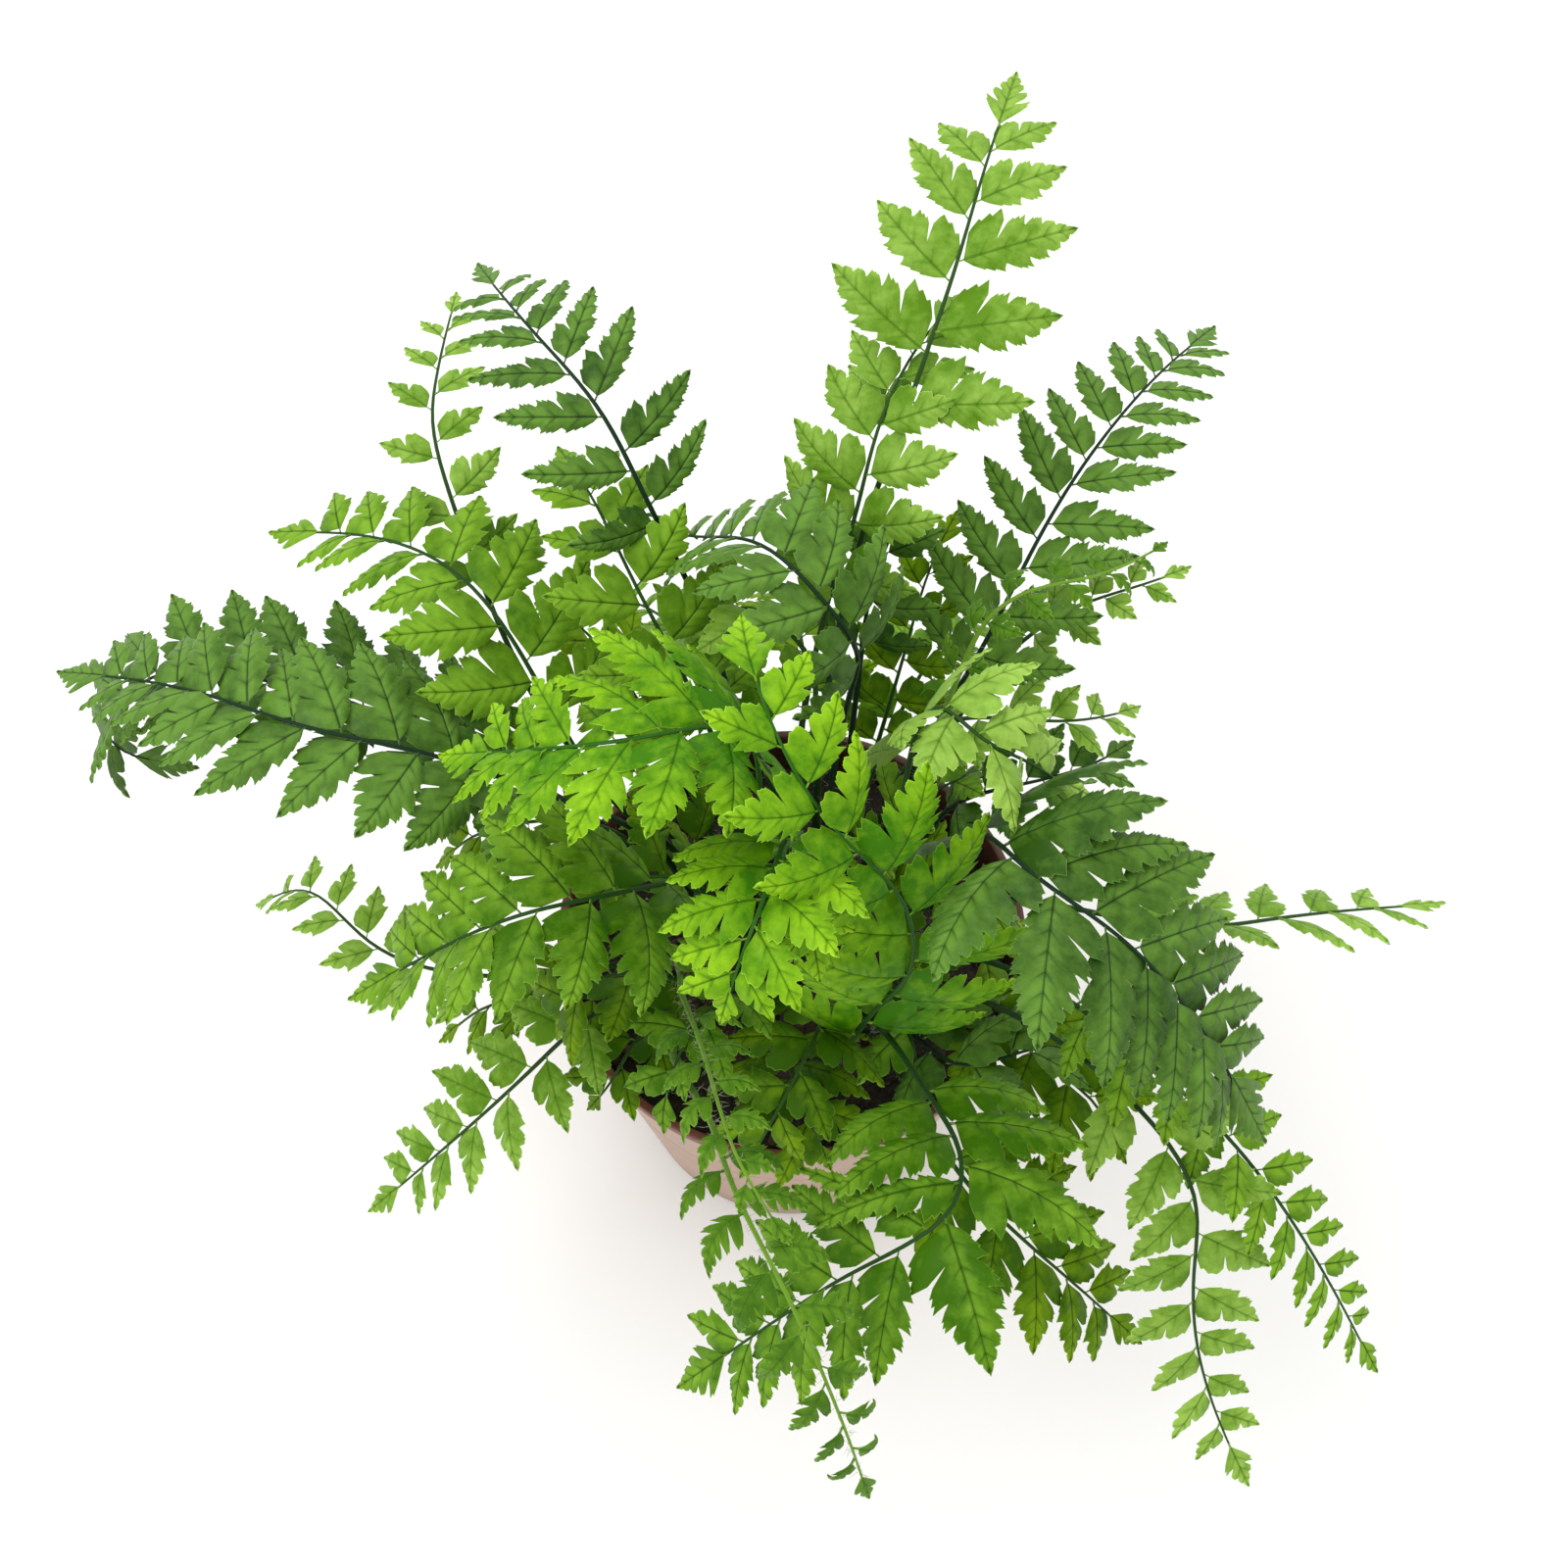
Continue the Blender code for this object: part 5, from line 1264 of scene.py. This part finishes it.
def makeSoil():
    rng = random.Random(soilLook["seed"])
    heap = Heap()
    gap, rings = soilLook["gap"], soilLook["rings"]
    side = wallRadius(soilLook["top"]) - potLook["wall"] - gap
    low = potLook["floor"] + gap
    foot = wallRadius(low) - potLook["wall"] - 0.5
    radii = [side * (i / rings) ** 0.9 for i in range(1, rings + 1)]
    heap.add(*mound((0, 0), radii, soilLook["sides"], soilHeight, foot, low), soilMap=(0, 0, 0))
    for k in range(soilLook["crumbs"] + soilLook["specks"]):
        x, y = scattered(rng, (0, 0), side - 2)
        speck = k >= soilLook["crumbs"]
        size = (rng.uniform(*soilLook["speckSizes"]) if speck
                else rng.choice(soilLook["crumbSizes"]))
        points, faces = lump(rng, size)
        kind = 1.0 if speck else (0.5 if rng.random() < 0.22 else 0.0)
        points = points + np.array([x, y, soilHeight(x, y) + 0.25 * size])
        heap.add(points, faces, soilMap=(kind, 0, 0))
    for _ in range(soilLook["fibres"]):
        x, y = scattered(rng, (0, 0), side - 6)
        heading = rng.uniform(0, fullTurn)
        route = []
        for _ in range(soilLook["fibrePoints"]):
            route.append((x, y, soilHeight(x, y) + 0.5 + rng.uniform(-0.2, 0.6)))
            heading += rng.uniform(-0.6, 0.6)
            x += soilLook["fibreStep"] * math.cos(heading)
            y += soilLook["fibreStep"] * math.sin(heading)
        if math.hypot(x, y) < side - 1:
            fibre = thread(route, rng.uniform(*soilLook["fibreRadii"]))
            heap.add(*fibre, soilMap=(rng.choice((0.5, 0.5, 1.0)), 0, 0))
    heap.piece("soil_fine", [soilFinish()], "soil", "soil")
    print("soil", heap.count, "points")


# Rhizome: a lumpy crown with stubs of old stalks and brown scales.
def rhizomeHeight(x, y):
    centre, radius = rhizomeSizes["centre"], rhizomeSizes["radius"]
    far = min(1, math.hypot(x - centre[0], y - centre[1]) / radius)
    scale = rhizomeSizes["lumpScale"]
    lumps = noise.fractal(Vector((x * scale, y * scale, 7.0)), 0.8, 2.0, 3)
    dome = rhizomeSizes["shoulder"] + rhizomeSizes["dome"] * math.cos(far * math.pi / 2)
    return dome + rhizomeSizes["lumps"] * lumps * (1 - far ** 4)


def rhizomeFinish():
    made = Finish("rhizome_scales", 0.8)
    kind = made.attribute("rhizomeMap")[0]
    cloud = made.noise(220, 4)
    colour = made.mix(cloud, (0.018, 0.011, 0.007), (0.06, 0.032, 0.016))
    colour = made.mix(kind.within(0.2, 0.5), colour, (0.16, 0.085, 0.035))
    colour = made.mix(kind.within(0.6, 0.9) * 0.8, colour, (0.035, 0.022, 0.012))
    return made.done(colour, 0.62 + cloud * 0.3, (cloud, 0.0006, 0.8))


def scaleShape(rng, root, lean, look):  # a papery pointed scale, closed and thin
    length, width = rng.uniform(*look["scaleLengths"]), rng.uniform(*look["scaleWidths"])
    lean = unit(lean)
    side = unit(np.cross(lean, (rng.uniform(-1, 1), rng.uniform(-1, 1), 0.4)))
    normal = np.cross(side, lean)
    bend = rng.uniform(-0.25, 0.25) * length
    points = []
    for t, w in ((0, 0.25), (0.35, 0.5), (0.7, 0.32)):
        middle = root + lean * t * length + normal * bend * t * t
        points += [middle - side * w * width, middle + side * w * width, middle - normal * 0.06]
    points.append(root + lean * length + normal * bend)
    faces = [(0, 1, 2)] + walls(3, 3) + [(6, 9, 7), (7, 9, 8), (8, 9, 6)]
    return np.array(points), [face[::-1] for face in faces]


def makeRhizome():
    rng = random.Random(rhizomeSizes["seed"])
    heap = Heap()
    centre, radius, rings = [rhizomeSizes[key] for key in ("centre", "radius", "rings")]
    radii = [radius * i / rings for i in range(1, rings + 1)]
    heap.add(*mound(centre, radii, rhizomeSizes["sides"], rhizomeHeight, radius - 3,
                    rhizomeSizes["bottom"]), rhizomeMap=(0, 0, 0))
    for _ in range(rhizomeSizes["stubs"]):
        x, y = scattered(rng, centre, radius * 0.9)
        low = rhizomeHeight(x, y) - 1
        tall = rng.uniform(*rhizomeSizes["stubHeights"])
        tilt = rng.uniform(-1.5, 1.5), rng.uniform(-1.5, 1.5)
        route = [(x + tilt[0] * u, y + tilt[1] * u, low + tall * u) for u in (0, 0.4, 0.8, 1.0)]
        heap.add(*thread(route, rhizomeSizes["stubRadii"], 8), rhizomeMap=(0.8, 0, 0))
    for _ in range(rhizomeSizes["scales"]):
        x, y = scattered(rng, centre, radius * 0.97)
        root = np.array([x, y, rhizomeHeight(x, y) - 0.2])
        lean = np.array([rng.uniform(-1, 1), rng.uniform(-1, 1), rng.uniform(0.3, 1.2)])
        heap.add(*scaleShape(rng, root, lean, rhizomeSizes), rhizomeMap=(0.5, 0, 0))
    heap.piece("rhizome_fine", [rhizomeFinish()], "rhizome", "rhizome")
    print("rhizome", heap.count, "points")


# Hairs and scales on the stalks: thick near the crown, thin further up.
hairLook = {
    "start": 12.5,
    "top": 55,
    "perFrond": 60,
    "perYoung": 230,
    "length": (0.9, 2.2),
    "radius": 0.05,
    "scales": 16,
    "scaleReach": 30,
    "scaleLengths": (1.8, 4),
    "scaleWidths": (0.3, 0.6),
    "seed": 31,
}


def hairFinish():
    made = Finish("stalk_hair", 0.6)
    kind = made.attribute("hairMap")[0]
    cloud = made.noise(500, 2)
    pale = made.mix(cloud, (0.30, 0.34, 0.20), (0.50, 0.50, 0.34))
    brown = made.mix(cloud, (0.10, 0.05, 0.02), (0.22, 0.12, 0.05))
    return made.done(made.mix(kind.within(0.4, 0.6), pale, brown), 0.55 + cloud * 0.2)


def makeHairs(planned):
    rng = random.Random(hairLook["seed"])
    heap = Heap()
    low = hairLook["start"]
    radii = [hairLook["radius"] * share for share in (1, 0.8, 0.3)]
    for stem, _, _ in planned:
        young = stem.frond.tone == "young"
        reach = stem.last if young else min(stem.blade, stem.foot + hairLook["top"])
        for _ in range(hairLook["perYoung" if young else "perFrond"]):
            s = low + (reach - low) * (rng.random() ** (0.9 if young else 1.6))
            centre, tangent, out = stem.outward(s, rng)
            length = rng.uniform(*hairLook["length"])
            root = centre + out * stem.radius(s) * 0.75
            lean = unit(out + tangent * rng.uniform(-0.3, 0.8))
            drift = np.array([rng.uniform(-0.35, 0.35) for _ in range(3)]) * length
            route = [root, root + lean * 0.5 * length, root + lean * length + drift]
            heap.add(*thread(route, radii, 3), hairMap=(0, 0, 0))
        for _ in range(hairLook["scales"]):
            s = low + hairLook["scaleReach"] * rng.random() ** 1.8
            centre, tangent, out = stem.outward(s, rng)
            lean = tangent * rng.uniform(0.4, 1.2) + out * rng.uniform(0.2, 0.9)
            root = centre + out * stem.radius(s) * 0.8
            heap.add(*scaleShape(rng, root, lean, hairLook), hairMap=(1, 0, 0))
    heap.piece("stalk_hairs", [hairFinish()], "rhizome")
    print("hairs", heap.count, "points")


makePot()
makeSoil()
makeRhizome()
makeHairs(planned)

# Studio: a pale floor, a soft white room and a camera at the photo's angle.
stageLook = {
    "lens": 43,
    "sensor": 36,
    "camera": (-0.002, -0.203, 0.535),
    "pitch": 60.5,
    "floorHalf": 3,
    "world": 1.05,
    "lampsLookAt": (0, 0, 0.12),
    "lamps": {"key": ((-0.7, -0.1, 1.5), 0.9, 8), "back": ((0.4, 1.2, 1.2), 0.8, 3)},
}


def makeStage():
    half = stageLook["floorHalf"]
    mesh = bpy.data.meshes.new("floor")
    mesh.from_pydata([(-half, -half, 0), (half, -half, 0), (half, half, 0), (-half, half, 0)], [],
                     [(0, 1, 2, 3)])
    finish = Finish("floor_white", 0.9)
    spots = finish.noise(3, 2) * 0.2
    finish.done(finish.mix(spots, (0.93, 0.925, 0.915), (0.90, 0.895, 0.885)), 0.9)
    mesh.materials.append(finish.material)
    added("floor", mesh)
    world = bpy.data.worlds.new("white_room")
    world.use_nodes = True
    white, power = world.node_tree.nodes["Background"].inputs[:2]
    white.default_value, power.default_value = (1, 1, 1, 1), stageLook["world"]
    bpy.context.scene.world = world
    for name, (place, size, power) in stageLook["lamps"].items():
        light = bpy.data.lights.new(name, "AREA")
        light.shape, light.size, light.energy = "DISK", size, power
        lamp = added(name, light)
        lamp.location = place
        aim = Vector(stageLook["lampsLookAt"]) - Vector(place)
        lamp.rotation_euler = aim.to_track_quat("-Z", "Y").to_euler()
    eye = bpy.data.cameras.new("camera")
    eye.lens, eye.sensor_width, eye.clip_start = stageLook["lens"], stageLook["sensor"], 0.01
    camera = added("camera", eye)
    camera.location = stageLook["camera"]
    camera.rotation_euler = (math.radians(90 - stageLook["pitch"]), 0, 0)
    bpy.context.scene.camera = camera
    bpy.context.scene.view_settings.view_transform = "Standard"
    print("studio", len(stageLook["lamps"]), "lamps")


makeStage()
